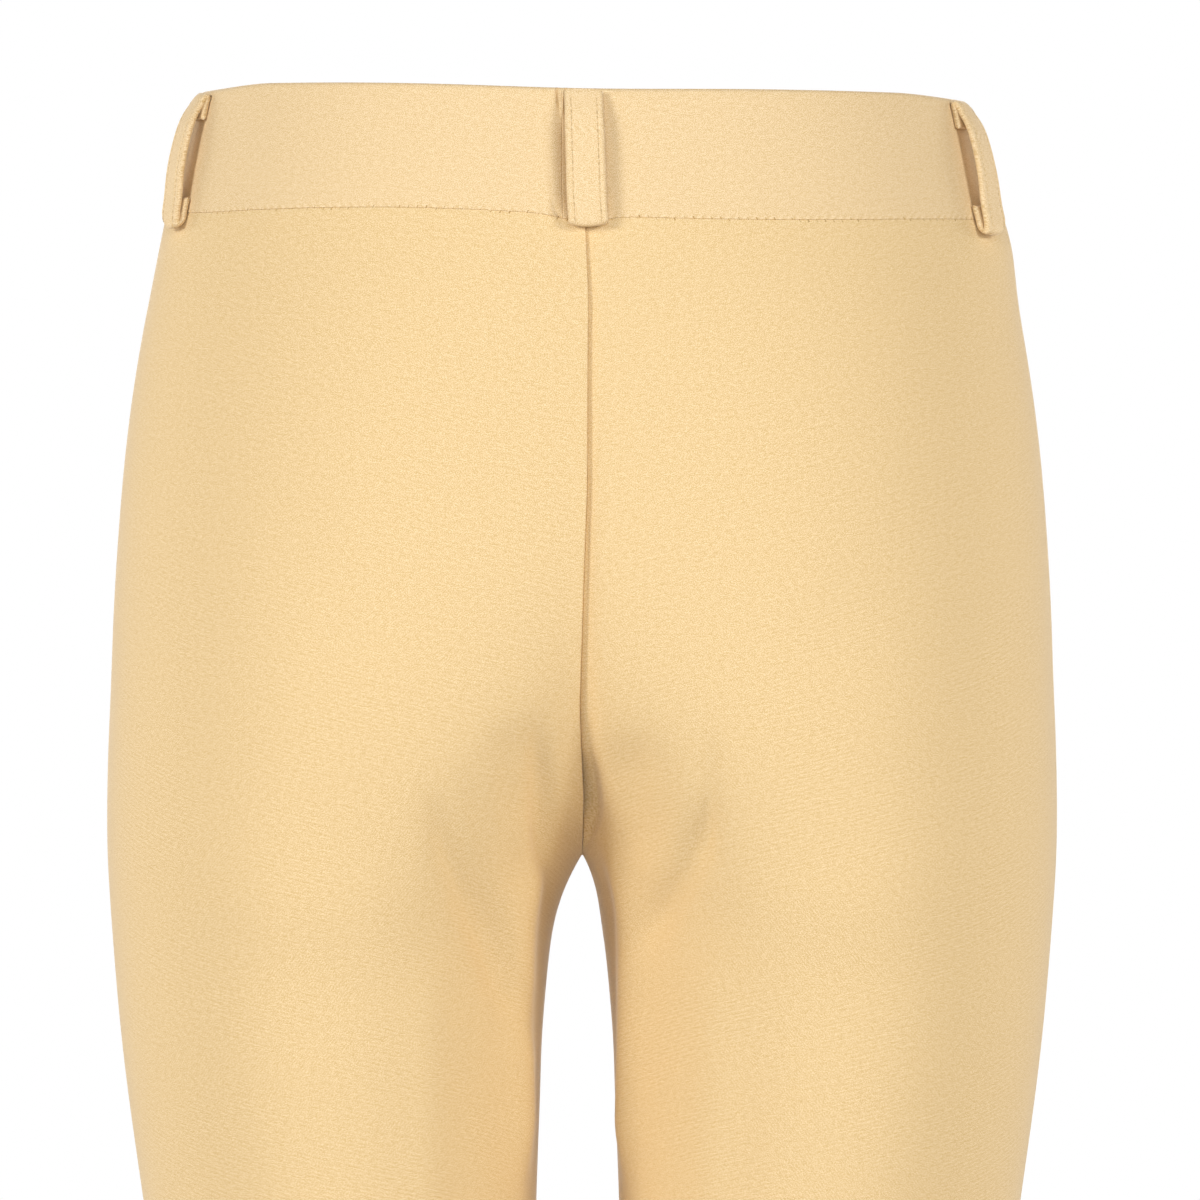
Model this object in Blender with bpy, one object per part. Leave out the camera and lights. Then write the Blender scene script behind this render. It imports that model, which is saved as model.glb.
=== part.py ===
"""Child's jodhpurs, held open as if worn: four hollow leg panels, a waistband in two halves,
five belt loops, a fly zip with its slider, and one waist button.

The frame: metres, +Z up, the wearer's front towards -Y and the wearer's left towards +X. The origin is
the middle of the waist ring, half way up the waistband. Every cloth piece is a wall that follows one
body surface, so its sections give the whole garment its shape.
"""

from collections import namedtuple

import bmesh
import bpy
import numpy as np

MM = 0.001

# Driving sizes.
WAIST_TOP = 19 * MM          # height of the waistband's upper edge
BAND_HEIGHT = 38.2 * MM      # waistband, upper edge to waist seam
LENGTH = 890 * MM            # upper edge to leg hem
CROTCH_DOWN = 230.4 * MM     # upper edge to crotch point
PLY = 1.5 * MM               # wall of a leg panel
HEM_WALL = 3 * MM            # the hem is turned up inside, so its wall is double
HEM_DEPTH = 22 * MM
BAND_WALL = 2.6 * MM         # waistband, folded double over its stiffening
GAP = 0.3 * MM               # between pieces that are sewn or laid together
SIDE_SEAM_TURN = {"left": 3.0, "right": 8.0}   # degrees that each side seam lies behind the widest line
BAND_SEAM_ASIDE = 6 * MM     # the waistband's back seam lies this far to the wearer's left

# The fly: the wearer's right front laps over the left one.
FLY_LENGTH = 108 * MM
FLAP_LAP = 7 * MM            # how far the flap passes the centre
FLAP_RISE = PLY + GAP        # how far the flap stands out over the left front
FLY_END_TAPER = 13 * MM
BAND_LAP = 9 * MM            # the waistband's outer end past the centre
BAND_UNDERLAP = 18 * MM      # its inner end past the centre, under the outer one
LAP_RAMP = 9 * MM            # cloth length in which a lapped end steps out or in
LAP_CLEAR = 1 * MM           # from a lapped end to where the piece over it starts to bend

# Belt loops: straps with both ends turned under.
LOOP_TOP_DOWN = 0.4 * MM     # the loop's upper end below the waistband's upper edge
LOOP_WIDTH = 11.6 * MM
LOOP_PLY = 1.8 * MM
LOOP_OPEN = 8.2 * MM         # greatest clear depth between a loop and the band
LOOP_TAB = 8.5 * MM          # length of each turned-under end
LOOP_TURN = 1.1 * MM         # radius of the turn at each end

ZIP_WIDTH = 24 * MM
ZIP_WALL = 1.0 * MM
ZIP_BELOW_SEAM = 2 * MM      # the tape's upper end below the waist seam
ZIP_ABOVE_FLY_END = 8 * MM   # its lower end above the fly's lower end
SLIDER_BELOW_SEAM = 6 * MM
SLIDER = (8 * MM, 11 * MM, 2.2 * MM)     # width, height, thickness
BUTTON_RADIUS = 7.5 * MM
BUTTON_THICKNESS = 3.2 * MM
BUTTON_ASIDE = 4.5 * MM      # to the wearer's right of the centre

# Mesh fineness.
PANEL_ROWS = 34
BACK_COLUMNS = 13
FRONT_COLUMNS = 9            # from the side seam to where the fly begins
BAND_COLUMNS = 21
ANGLE_SAMPLES = 241
FRONT_WIDTH = 150 * MM       # about the arc of a front panel, over which its rows change their slope
ROW_CROWDING = {"crotch": (14, 12 * MM), "fly end": (2, 20 * MM)}   # how many more rows, and over what height

# One row for each section across the garment, in millimetres. down: below the waistband's upper edge.
# outer: centre line to the outside of the leg. inner: centre line to the inside of the leg, negative where
# the two legs' loops still run into each other. mid: the y of the widest line. back, front: the y of the
# rearmost and foremost points. round_back, round_front: the exponents of the section's two halves, where 2
# is an ellipse and more is squarer.
Section = namedtuple("Section", "name down outer inner mid back front round_back round_front")
SECTIONS = (
    Section("waist top", 0, 114.8, -114.8, 0, 82, -81, 2.2, 2.3),
    Section("waist seam", 38.2, 124.8, -124.8, 0, 89, -85, 2.2, 2.3),
    Section("below waist", 70, 131.3, -107.4, 0, 95, -88, 2.2, 2.4),
    Section("high hip", 106, 136.7, -91.0, 0, 100, -90, 2.25, 2.5),
    Section("hip", 142, 139.7, -68.0, 0, 103, -90, 2.25, 2.6),
    Section("seat", 187, 141.9, -34.5, 1, 101, -88, 2.25, 2.6),
    Section("low seat", 210, 142.2, -14.9, 1, 97, -86, 2.2, 2.5),
    Section("crotch", 230.4, 142.0, 0, 1, 93, -84, 2.15, 2.4),
    Section("under crotch", 241, 141.5, 5.0, 0, 91, -83, 2.1, 2.35),
    Section("top of thigh", 259, 140.2, 8.8, 0, 86, -82, 2.1, 2.3),
    Section("thigh", 290, 137.4, 11.0, -1, 80, -80, 2.05, 2.2),
    Section("mid thigh", 335, 131.4, 12.8, -3, 72, -77, 2, 2.1),
    Section("low thigh", 420, 121.0, 14.8, -6, 60, -70, 2, 2),
    Section("knee", 540, 112.6, 17.0, -7, 49, -62, 2, 2),
    Section("calf", 645, 109.4, 19.0, 3, 55, -48, 2, 2),
    Section("shin", 755, 102.8, 21.5, 4, 48, -41, 2, 2),
    Section("hem", 890, 97.6, 24.0, 1, 40, -38, 2, 2),
)

# One row for each belt loop. share: its place on the half ring, from 0 at the centre back to 1 at the front.
Loop = namedtuple("Loop", "name side share")
LOOPS = (
    Loop("loop_back", "left", 0.0),
    Loop("loop_side_left", "left", 0.436),
    Loop("loop_side_right", "right", 0.420),
    Loop("loop_front_left", "left", 0.83),
    Loop("loop_front_right", "right", 0.83),
)

# One row for each bend of a belt loop's middle line. along: millimetres from the loop's upper end.
# out: share of the greatest rise. The strap bows out between its two turned ends.
Bend = namedtuple("Bend", "along out")
STRAP_BENDS = (
    Bend(0.0, 0.42), Bend(2.2, 0.72), Bend(6.0, 0.92), Bend(12.0, 1.0), Bend(22.0, 1.0),
    Bend(32.0, 1.0), Bend(38.0, 0.95), Bend(42.0, 0.78), Bend(43.7, 0.42),
)

SIGN = {"left": 1.0, "right": -1.0}

# Heights worked out from the driving sizes.
WAIST_SEAM = WAIST_TOP - BAND_HEIGHT
CROTCH = WAIST_TOP - CROTCH_DOWN
FLY_END = WAIST_SEAM - FLY_LENGTH
HEM = WAIST_TOP - LENGTH
HEM_FOLD = HEM + HEM_DEPTH


def column(name):
    return np.array([getattr(row, name) for row in SECTIONS], float)


def spline_through(places, values, at):
    """A natural cubic spline: its second derivatives solve a tridiagonal system, zero at both ends."""
    steps = np.diff(places)
    slopes = np.diff(values) / steps
    size = len(places)
    system = np.eye(size)
    for i in range(1, size - 1):
        system[i, i - 1 : i + 2] = steps[i - 1], 2 * (steps[i - 1] + steps[i]), steps[i]
    right_side = np.zeros(size)
    right_side[1:-1] = 6 * np.diff(slopes)
    bend = np.linalg.solve(system, right_side)
    i = np.clip(np.searchsorted(places, at) - 1, 0, size - 2)
    before = at - places[i]
    after = places[i + 1] - at
    step = steps[i]
    cubic = (bend[i] * after**3 + bend[i + 1] * before**3) / (6 * step)
    line = (values[i] / step - bend[i] * step / 6) * after
    return cubic + line + (values[i + 1] / step - bend[i + 1] * step / 6) * before


def sections_at(z):
    """Each column of SECTIONS at the heights z: straight over the waistband and splined below it."""
    down = (WAIST_TOP - z) / MM
    places = column("down")
    found = {}
    for name in Section._fields[2:]:
        values = column(name)
        on_band = np.interp(down, places[:2], values[:2])
        below = spline_through(places[1:], values[1:], down)
        unit = 1 if name.startswith("round") else MM
        found[name] = np.where(down <= places[1], on_band, below) * unit
    found["centre"] = (found["outer"] + found["inner"]) / 2
    found["half"] = (found["outer"] - found["inner"]) / 2
    return found


def around(angle, s):
    """The section loop at an angle: 0 at the inside of the leg, 90 at the back, 180 outside, 270 in front."""
    cosine, sine = np.cos(angle), np.sin(angle)
    power = 2 / np.where(sine >= 0, s["round_back"], s["round_front"])
    depth = np.where(sine >= 0, s["back"] - s["mid"], s["mid"] - s["front"])
    x = s["centre"] - s["half"] * np.sign(cosine) * np.abs(cosine) ** power
    y = s["mid"] + depth * np.sign(sine) * np.abs(sine) ** power
    return x, y


def clip_angle(s, roundness):
    """The angle at which the loop crosses the garment's middle plane, zero once the legs are apart."""
    share = np.clip(s["centre"] / s["half"], 0, 1)
    return np.arccos(share ** (s[roundness] / 2))


def half_ring(z):
    """For each height, sample angles from the centre back to the centre front and the arc up to each."""
    s = {name: values[..., None] for name, values in sections_at(z).items()}
    start = clip_angle(s, "round_back")
    end = 2 * np.pi - clip_angle(s, "round_front")
    angles = start + (end - start) * np.linspace(0, 1, ANGLE_SAMPLES)
    x, y = around(angles, s)
    steps = np.hypot(np.diff(x), np.diff(y))
    arcs = np.concatenate([np.zeros(z.shape + (1,)), np.cumsum(steps, axis=-1)], axis=-1)
    return angles, arcs


def half_girth(z):
    return half_ring(z)[1][..., -1]


def seam_arc(side, z):
    """The arc from the centre back, or the inseam, to the side seam."""
    angles, arcs = half_ring(z)
    seam = np.pi - np.radians(SIDE_SEAM_TURN[side])
    return np.array([np.interp(seam, a, b) for a, b in zip(angles, arcs)])


def surface(side, arc, z):
    """Points on the body surface, by the arc from the centre back. An arc that passes the centre back or the
    centre front carries on around the other half."""
    flat_arc, flat_z = (np.broadcast_to(v, np.broadcast(arc, z).shape).ravel() for v in (arc, z))
    angles, arcs = half_ring(flat_z)
    whole = arcs[:, -1]
    folded = np.abs(flat_arc)
    folded = np.where(folded > whole, 2 * whole - folded, folded)
    crossed = (flat_arc < 0) | (flat_arc > whole)
    at = np.array([np.interp(v, a, b) for v, a, b in zip(folded, arcs, angles)])
    x, y = around(at, sections_at(flat_z))
    points = np.stack([np.where(crossed, -x, x), y, flat_z], axis=1)
    points[:, 0] *= SIGN[side]
    return points.reshape(np.broadcast(arc, z).shape + (3,))


def level(points):
    """How far points lie outside the body surface, as a number that is zero on it."""
    s = sections_at(points[..., 2])
    across = np.abs((np.abs(points[..., 0]) - s["centre"]) / s["half"])
    behind = points[..., 1] >= s["mid"]
    depth = np.where(behind, s["back"] - s["mid"], s["mid"] - s["front"])
    roundness = np.where(behind, s["round_back"], s["round_front"])
    return across**roundness + np.abs((points[..., 1] - s["mid"]) / depth) ** roundness


def normals(points):
    """Outward directions: the slope of level along each axis."""
    step = 0.05 * MM
    slope = np.stack([level(points + d) - level(points - d) for d in np.eye(3) * step], axis=-1)
    return slope / np.linalg.norm(slope, axis=-1, keepdims=True)


def kept_in(direction, *axes):
    """A direction flattened into a plane and lengthened, so that a wall set along it keeps its thickness."""
    flat = direction.copy()
    flat[..., list(axes)] = 0
    return flat / np.maximum(np.sum(flat**2, axis=-1, keepdims=True), 0.16)


def ease(value):
    value = np.clip(value, 0, 1)
    return value * value * (3 - 2 * value)


def grid_of(function, z):
    """Calls a function of one row of heights for each column, and gives back the columns side by side."""
    return np.stack([function(z[:, j]) for j in range(z.shape[1])], axis=1)


def add_mesh(name, points, faces, material):
    mesh = bpy.data.meshes.new(name)
    mesh.from_pydata([tuple(p) for p in points], [], faces)
    work = bmesh.new()
    work.from_mesh(mesh)
    bmesh.ops.triangulate(work, faces=work.faces)
    bmesh.ops.recalc_face_normals(work, faces=work.faces)
    work.to_mesh(mesh)
    work.free()
    mesh.shade_smooth()
    mesh.set_sharp_from_angle(angle=np.radians(40))
    mesh.materials.append(material)
    shape = bpy.data.objects.new(name, mesh)
    bpy.context.scene.collection.objects.link(shape)
    return shape


def add_wall(name, outside, inside, material):
    """A closed wall between two grids of points that match row for row and column for column."""
    rows, columns = outside.shape[:2]
    number = np.arange(rows * columns).reshape(rows, columns)
    far = number + rows * columns
    faces = []
    for i in range(rows - 1):
        for j in range(columns - 1):
            square = (number[i, j], number[i, j + 1], number[i + 1, j + 1], number[i + 1, j])
            faces.append(square)
            faces.append(tuple(n + rows * columns for n in reversed(square)))
    rim = [*number[0], *number[1:, -1], *number[-1, -2::-1], *number[-2:0:-1, 0]]
    far_rim = [*far[0], *far[1:, -1], *far[-1, -2::-1], *far[-2:0:-1, 0]]
    for i, corner in enumerate(rim):
        after = (i + 1) % len(rim)
        faces.append((corner, far_rim[i], far_rim[after], rim[after]))
    points = np.concatenate([outside.reshape(-1, 3), inside.reshape(-1, 3)])
    return add_mesh(name, points, [tuple(int(n) for n in face) for face in faces], material)


def inner_rows():
    """Row heights along the centre seams and the inseam, closest together about the crotch and the fly's
    lower end, and with rows exactly at both."""
    first = WAIST_SEAM - GAP / 2
    fine = np.linspace(first, HEM_FOLD + 1 * MM, 2000)
    density = np.ones(len(fine))
    for height, (more, reach) in zip((CROTCH, FLY_END), ROW_CROWDING.values()):
        density += more * np.exp(-(((fine - height) / reach) ** 2))
    count = np.cumsum(density)
    rows = np.interp(np.linspace(count[0], count[-1], PANEL_ROWS - 2), count, fine)
    for height in (FLY_END + FLY_END_TAPER, FLY_END, FLY_END - FLY_END_TAPER, CROTCH):
        rows[np.argmin(np.abs(rows - height))] = height
    return np.append(rows, [HEM_FOLD, HEM])


def outer_rows():
    """Row heights along the side seams, evenly spaced down to the hem."""
    first = WAIST_SEAM - GAP / 2
    return np.append(np.linspace(first, HEM_FOLD + 1 * MM, PANEL_ROWS - 2), [HEM_FOLD, HEM])


def wall_of_panel(z):
    """The panel's wall, double where the hem is turned up."""
    in_hem = z < HEM_FOLD + 0.5 * MM
    return np.where(in_hem, HEM_WALL, PLY)


def add_panel(name, side, share, arc, rise, centre_column, material):
    """A leg panel. share is each column's part of the way from the centre to the side seam, arc(z) gives the
    columns' arcs for a table of heights, and rise(arc, z) is how far the cloth is moved out."""
    across = ease(share)[None, :]
    z = inner_rows()[:, None] * (1 - across) + outer_rows()[:, None] * across
    place = arc(z)
    base = surface(side, place, z)
    direction = normals(base)
    direction[[0, -1]] = kept_in(direction[[0, -1]], 2)
    outside = base + direction * rise(place, z)[..., None]
    joined = z[:, centre_column] >= CROTCH
    below_top = joined & (np.arange(len(z)) > 0)
    inward = direction.copy()
    inward[below_top, centre_column] = kept_in(direction[below_top, centre_column], 0)
    inside = outside - inward * wall_of_panel(z)[..., None]
    keep = GAP / 2
    before_centre = place < grid_of(half_girth, z)
    for grid in (outside, inside):
        held_back = np.maximum(grid[..., 0] * SIGN[side], keep) * SIGN[side]
        grid[..., 0] = np.where(before_centre, held_back, grid[..., 0])
        middle = joined & before_centre[:, centre_column]
        grid[middle, centre_column, 0] = keep * SIGN[side]
    return add_wall(name, outside, inside, material)


def no_rise(arc, z):
    return np.zeros(np.broadcast(arc, z).shape)


def add_back(side, material):
    share = np.linspace(0, 1, BACK_COLUMNS)

    def arc(z):
        seam = grid_of(lambda heights: seam_arc(side, heights), z)
        return GAP / 2 + share[None, :] * (seam - GAP)

    return add_panel(f"back_{side}", side, share, arc, no_rise, 0, material)


def fly_share(z, top_of_taper):
    """0 below the fly and 1 above, eased over the taper that ends at a height."""
    return ease((z - (top_of_taper - FLY_END_TAPER)) / FLY_END_TAPER)


def add_front(side, material):
    """The columns spread evenly from the side seam to the fly, then keep fixed arcs before the centre front,
    so that the flap lies true. The right front's last column is the flap's edge."""
    laps = side == "right"
    flat_arc = BAND_UNDERLAP + LAP_CLEAR
    fly_begins = flat_arc + LAP_RAMP
    before = [flat_arc, FLAP_LAP, 2 * MM, GAP / 2] if laps else [flat_arc, FLAP_LAP, GAP / 2]
    along = np.linspace(0, 1, FRONT_COLUMNS)
    share = np.append(1 - along * (1 - fly_begins / FRONT_WIDTH), np.array(before) / FRONT_WIDTH)
    share[-1] = 0

    def arc(z):
        whole = grid_of(half_girth, z)
        start = grid_of(lambda heights: seam_arc(side, heights), z)[:, :FRONT_COLUMNS] + GAP / 2
        spread = start + (whole[:, :FRONT_COLUMNS] - fly_begins - start) * along
        places = np.concatenate([spread, whole[:, FRONT_COLUMNS:] - before], axis=1)
        if laps:
            flap = fly_share(z[:, -1], FLY_END + FLY_END_TAPER)
            places[:, -1] += np.where(flap > 0, GAP / 2 + FLAP_LAP * flap, 0)
        return places

    def rise(place, z):
        into_lap = ease((place - grid_of(half_girth, z) + fly_begins) / LAP_RAMP)
        return FLAP_RISE * into_lap * fly_share(z, FLY_END)

    return add_panel(f"front_{side}", side, share, arc, rise if laps else no_rise, len(share) - 1, material)


def add_band(side, material):
    """One half of the waistband. At the front the right half's end steps out and the left half's steps in."""
    on_top = side == "right"
    aside = BAND_SEAM_ASIDE if side == "left" else -BAND_SEAM_ASIDE
    lap = BAND_LAP if on_top else BAND_UNDERLAP
    other = BAND_UNDERLAP if on_top else BAND_LAP
    step = FLAP_RISE if on_top else -(BAND_WALL - FLAP_RISE + GAP)
    z = np.array([WAIST_TOP, WAIST_TOP - BAND_HEIGHT / 2, WAIST_SEAM + GAP / 2])[:, None]
    whole = half_girth(z[:, 0])[:, None]
    ramp_start = whole - other - LAP_CLEAR - LAP_RAMP
    main = aside + GAP / 2 + (ramp_start - aside) * np.linspace(0, 1, BAND_COLUMNS)[None, :]
    ends = [ramp_start + LAP_RAMP, whole - BUTTON_ASIDE, whole + lap / 2, whole + lap]
    arc = np.concatenate([main, *ends], axis=1)
    z = np.broadcast_to(z, arc.shape)
    base = surface(side, arc, z)
    direction = kept_in(normals(base), 2)
    shift = step * ease((arc - ramp_start) / LAP_RAMP)[..., None]
    outside = base + direction * shift
    return add_wall(f"waistband_{side}", outside, outside - direction * BAND_WALL, material)


def strap_line():
    """The belt loop's middle line as (height below its upper end, distance out), end to end: the upper tab
    upwards, the bowed strap downwards and the lower tab upwards again."""
    lie = GAP + LOOP_PLY / 2
    crown = LOOP_OPEN + LOOP_PLY / 2
    along = np.array([b.along for b in STRAP_BENDS]) * MM
    out = lie + (crown - lie) * np.array([b.out for b in STRAP_BENDS])
    end = along[-1]
    upper = np.array([[LOOP_TAB, lie], [LOOP_TAB / 2, lie], [LOOP_TURN, lie], [0, lie + LOOP_TURN]])
    lower = np.stack([end - upper[::-1, 0], upper[::-1, 1]], axis=1)
    strap = np.stack([along, out], axis=1)[1:-1]
    return np.concatenate([upper, strap, lower])


def add_loop(loop, material):
    line = strap_line()
    tangent = np.gradient(line, axis=0)
    tangent /= np.linalg.norm(tangent, axis=1, keepdims=True)
    aside = np.stack([-tangent[:, 1], tangent[:, 0]], axis=1) * LOOP_PLY / 2
    grids = []
    for edge in (line + aside, line - aside):
        z = (WAIST_TOP - LOOP_TOP_DOWN - edge[:, 0])[:, None]
        z = np.broadcast_to(z, (len(line), 3))
        whole = grid_of(half_girth, z)
        arc = loop.share * whole + np.array([-0.5, 0, 0.5])[None, :] * LOOP_WIDTH
        base = surface(loop.side, arc, z)
        grids.append(base + kept_in(normals(base), 2) * edge[:, 1][:, None, None])
    return add_wall(loop.name, grids[0], grids[1], material)


def add_zip(material):
    """The closed zip's tape behind the fly, made from the front's points moved in."""
    z = np.linspace(WAIST_SEAM - ZIP_BELOW_SEAM, FLY_END + ZIP_ABOVE_FLY_END, 9)[:, None]
    arc = half_girth(z[:, 0])[:, None] + np.linspace(-0.5, 0.5, 5)[None, :] * ZIP_WIDTH
    z = np.broadcast_to(z, arc.shape)
    base = surface("left", arc, z)
    direction = normals(base)
    outside = base - direction * (PLY + 2 * GAP)
    return add_wall("zip", outside, outside - direction * ZIP_WALL, material)


def add_slider(material):
    """The slider, closed, at the zip's upper end, on its inner face."""
    width, height, thick = SLIDER
    outline = np.array([0.55, 0.92, 1.0, 0.9, 0.6])
    z = (WAIST_SEAM - SLIDER_BELOW_SEAM - np.linspace(0, 1, len(outline)) * height)[:, None]
    arc = half_girth(z[:, 0])[:, None] + outline[:, None] * np.array([-0.5, 0, 0.5])[None, :] * width
    z = np.broadcast_to(z, arc.shape)
    base = surface("left", arc, z)
    direction = normals(base)
    outside = base - direction * (PLY + 3 * GAP + ZIP_WALL)
    return add_wall("zip_slider", outside, outside - direction * thick, material)


def add_button(material):
    """The waist button: a turned disc with a raised rim, its axis along the waistband's own normal."""
    z = np.array([WAIST_TOP - BAND_HEIGHT / 2])
    place = surface("right", half_girth(z) - BUTTON_ASIDE, z)
    axis = normals(place)[0]
    seat = place[0] + axis * (FLAP_RISE + 1.5 * GAP)
    side = np.cross(axis, [0, 0, 1])
    side /= np.linalg.norm(side)
    up = np.cross(side, axis)
    profile = np.array([[0.62, 0.0], [0.94, 0.18], [1.0, 0.5], [0.97, 0.86], [0.86, 1.0], [0.74, 0.9], [0.66, 0.72]])
    turns = np.linspace(0, 2 * np.pi, 28, endpoint=False)
    rings = profile[:, None, :1] * BUTTON_RADIUS * np.stack([np.cos(turns), np.sin(turns)], axis=1)[None]
    height = profile[:, 1] * BUTTON_THICKNESS
    points = seat + rings[..., :1] * side + rings[..., 1:] * up + height[:, None, None] * axis
    number = np.arange(points[..., 0].size).reshape(points.shape[:2])
    faces = [tuple(number[0]), tuple(number[-1])]
    for i in range(len(profile) - 1):
        for j in range(len(turns)):
            after = (j + 1) % len(turns)
            faces.append((number[i, j], number[i, after], number[i + 1, after], number[i + 1, j]))
    return add_mesh("waist_button", points.reshape(-1, 3), [tuple(int(n) for n in f) for f in faces], material)


def add_material(name, colour, roughness, metallic=0.0):
    material = bpy.data.materials.new(name)
    material.use_nodes = True
    shader = material.node_tree.nodes["Principled BSDF"]
    shader.inputs["Base Color"].default_value = (*colour, 1)
    shader.inputs["Roughness"].default_value = roughness
    shader.inputs["Metallic"].default_value = metallic
    material.diffuse_color = (*colour, 1)
    return material


def build():
    for shape in list(bpy.data.objects):
        bpy.data.objects.remove(shape, do_unlink=True)
    twill = add_material("fawn_cotton_twill", (0.87, 0.63, 0.33), 0.85)
    band_twill = add_material("waistband_twill", (0.87, 0.64, 0.35), 0.85)
    loop_twill = add_material("belt_loop_twill", (0.88, 0.65, 0.36), 0.85)
    tape = add_material("zip_tape", (0.74, 0.55, 0.32), 0.8)
    nickel = add_material("brushed_nickel", (0.62, 0.6, 0.56), 0.35, 1.0)
    horn = add_material("polyester_button", (0.55, 0.38, 0.2), 0.3)
    for side in SIGN:
        add_back(side, twill)
        add_front(side, twill)
        add_band(side, band_twill)
    for loop in LOOPS:
        add_loop(loop, loop_twill)
    add_zip(tape)
    add_slider(nickel)
    add_button(horn)


build()
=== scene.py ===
# %% [markdown]
# # Jodhpurs for a child, held open as if worn
#
# These are close riding trousers in a pale fawn stretch twill: four leg panels, a folded waistband with belt
# loops, a zip fly and a waist button. There is nobody inside, but the cloth keeps the rounded form that it
# has when it is worn.
#
# The CAD model gives the sizes and is loaded first, as a fixed frame. Its cloth is plain and faceted, so each
# piece gets a finer one here, with its own thickness, soft creases, sunk seams and stitches.

# %% The fixed frame
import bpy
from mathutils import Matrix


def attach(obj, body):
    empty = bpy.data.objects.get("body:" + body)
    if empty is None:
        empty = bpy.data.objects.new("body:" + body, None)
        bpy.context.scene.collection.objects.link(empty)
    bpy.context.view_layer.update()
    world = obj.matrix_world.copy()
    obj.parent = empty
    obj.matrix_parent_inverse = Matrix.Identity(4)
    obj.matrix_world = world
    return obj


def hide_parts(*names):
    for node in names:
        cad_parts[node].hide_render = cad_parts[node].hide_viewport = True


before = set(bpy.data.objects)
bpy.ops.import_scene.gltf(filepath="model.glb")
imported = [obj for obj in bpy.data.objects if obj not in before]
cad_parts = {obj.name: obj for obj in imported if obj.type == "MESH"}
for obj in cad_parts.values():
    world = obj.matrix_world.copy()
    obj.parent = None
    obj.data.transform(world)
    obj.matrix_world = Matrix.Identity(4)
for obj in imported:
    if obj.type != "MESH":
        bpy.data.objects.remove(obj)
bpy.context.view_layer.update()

# %% Tools
from collections import namedtuple

import bpy
import numpy as np
from mathutils import Vector

MM = 0.001
SIGN = {"left": 1.0, "right": -1.0}    # the wearer's left is +X, and the wearer's back is +Y

# %% [markdown]
# ## The body surface
#
# Every piece of cloth here follows one smooth surface, the outside of the garment. It could be drawn with
# control points, but a pattern maker works with girths, and a short table of level sections says the same in
# a way that can be read and changed. Each row is a loop with a squarer or rounder back and front, and a
# spline joins the rows down the leg. Above the crotch the two legs' loops run into each other and are cut at
# the middle, which hollows the seat by itself.

# %% The section table
# down: below the waistband's upper edge. outer, inner: from the middle to the outside and the inside of a
# leg, negative while the legs are joined. mid: y of the widest line. back, front: y of the ends. round_back
# and round_front: 2 is an ellipse and more is squarer. Lengths are in millimetres.
Section = namedtuple("Section", "name down outer inner mid back front round_back round_front")
SECTIONS = [Section(*row) for row in (
    ("waist top", 0, 114.8, -114.8, 0, 82, -81, 2.2, 2.3),
    ("waist seam", 38.2, 124.8, -124.8, 0, 89, -85, 2.2, 2.3),
    ("below waist", 70, 131.3, -107.4, 0, 95, -88, 2.2, 2.4),
    ("high hip", 106, 136.7, -91.0, 0, 100, -90, 2.25, 2.5),
    ("hip", 142, 139.7, -68.0, 0, 103, -90, 2.25, 2.6),
    ("seat", 187, 141.9, -34.5, 1, 101, -88, 2.25, 2.6),
    ("low seat", 210, 142.2, -14.9, 1, 97, -86, 2.2, 2.5),
    ("crotch", 230.4, 142.0, 0, 1, 93, -84, 2.15, 2.4),
    ("under crotch", 241, 141.5, 5.0, 0, 91, -83, 2.1, 2.35),
    ("top of thigh", 259, 140.2, 8.8, 0, 86, -82, 2.1, 2.3),
    ("thigh", 290, 137.4, 11.0, -1, 80, -80, 2.05, 2.2),
    ("mid thigh", 335, 131.4, 12.8, -3, 72, -77, 2, 2.1),
    ("low thigh", 420, 121.0, 14.8, -6, 60, -70, 2, 2),
    ("knee", 540, 112.6, 17.0, -7, 49, -62, 2, 2),
    ("calf", 645, 109.4, 19.0, 3, 55, -48, 2, 2),
    ("shin", 755, 102.8, 21.5, 4, 48, -41, 2, 2),
    ("hem", 890, 97.6, 24.0, 1, 40, -38, 2, 2),
)]
DOWN = {row.name: row.down * MM for row in SECTIONS}
BAND_HEIGHT = DOWN["waist seam"]
WAIST_TOP = BAND_HEIGHT / 2 - 0.1 * MM
WAIST_SEAM = WAIST_TOP - BAND_HEIGHT
CROTCH = WAIST_TOP - DOWN["crotch"]
HEM = WAIST_TOP - DOWN["hem"]
SIDE_SEAM_TURN = {"left": 3.0, "right": 8.0}    # degrees behind the widest line
SEWN = 0.02 * MM                                # between edges that are sewn together
GAP = 0.3 * MM                                  # between pieces that lie on each other
PLY = 1.5 * MM
print("waist seam, crotch and hem, mm:", [round(z / MM, 1) for z in (WAIST_SEAM, CROTCH, HEM)])

# %% Sections at any height
def unit(vectors):
    return vectors / np.linalg.norm(vectors, axis=-1, keepdims=True)


def together(*parts):
    """Arrays of any one shape as the coordinates of points."""
    return np.stack(np.broadcast_arrays(*parts), axis=-1)


def run_along(points):
    """The distance from a line's first point up to each of its points."""
    return np.append(0, np.cumsum(np.hypot(*np.diff(points, axis=0).T)))


def column(name):
    return np.array([getattr(row, name) for row in SECTIONS], float)


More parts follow.
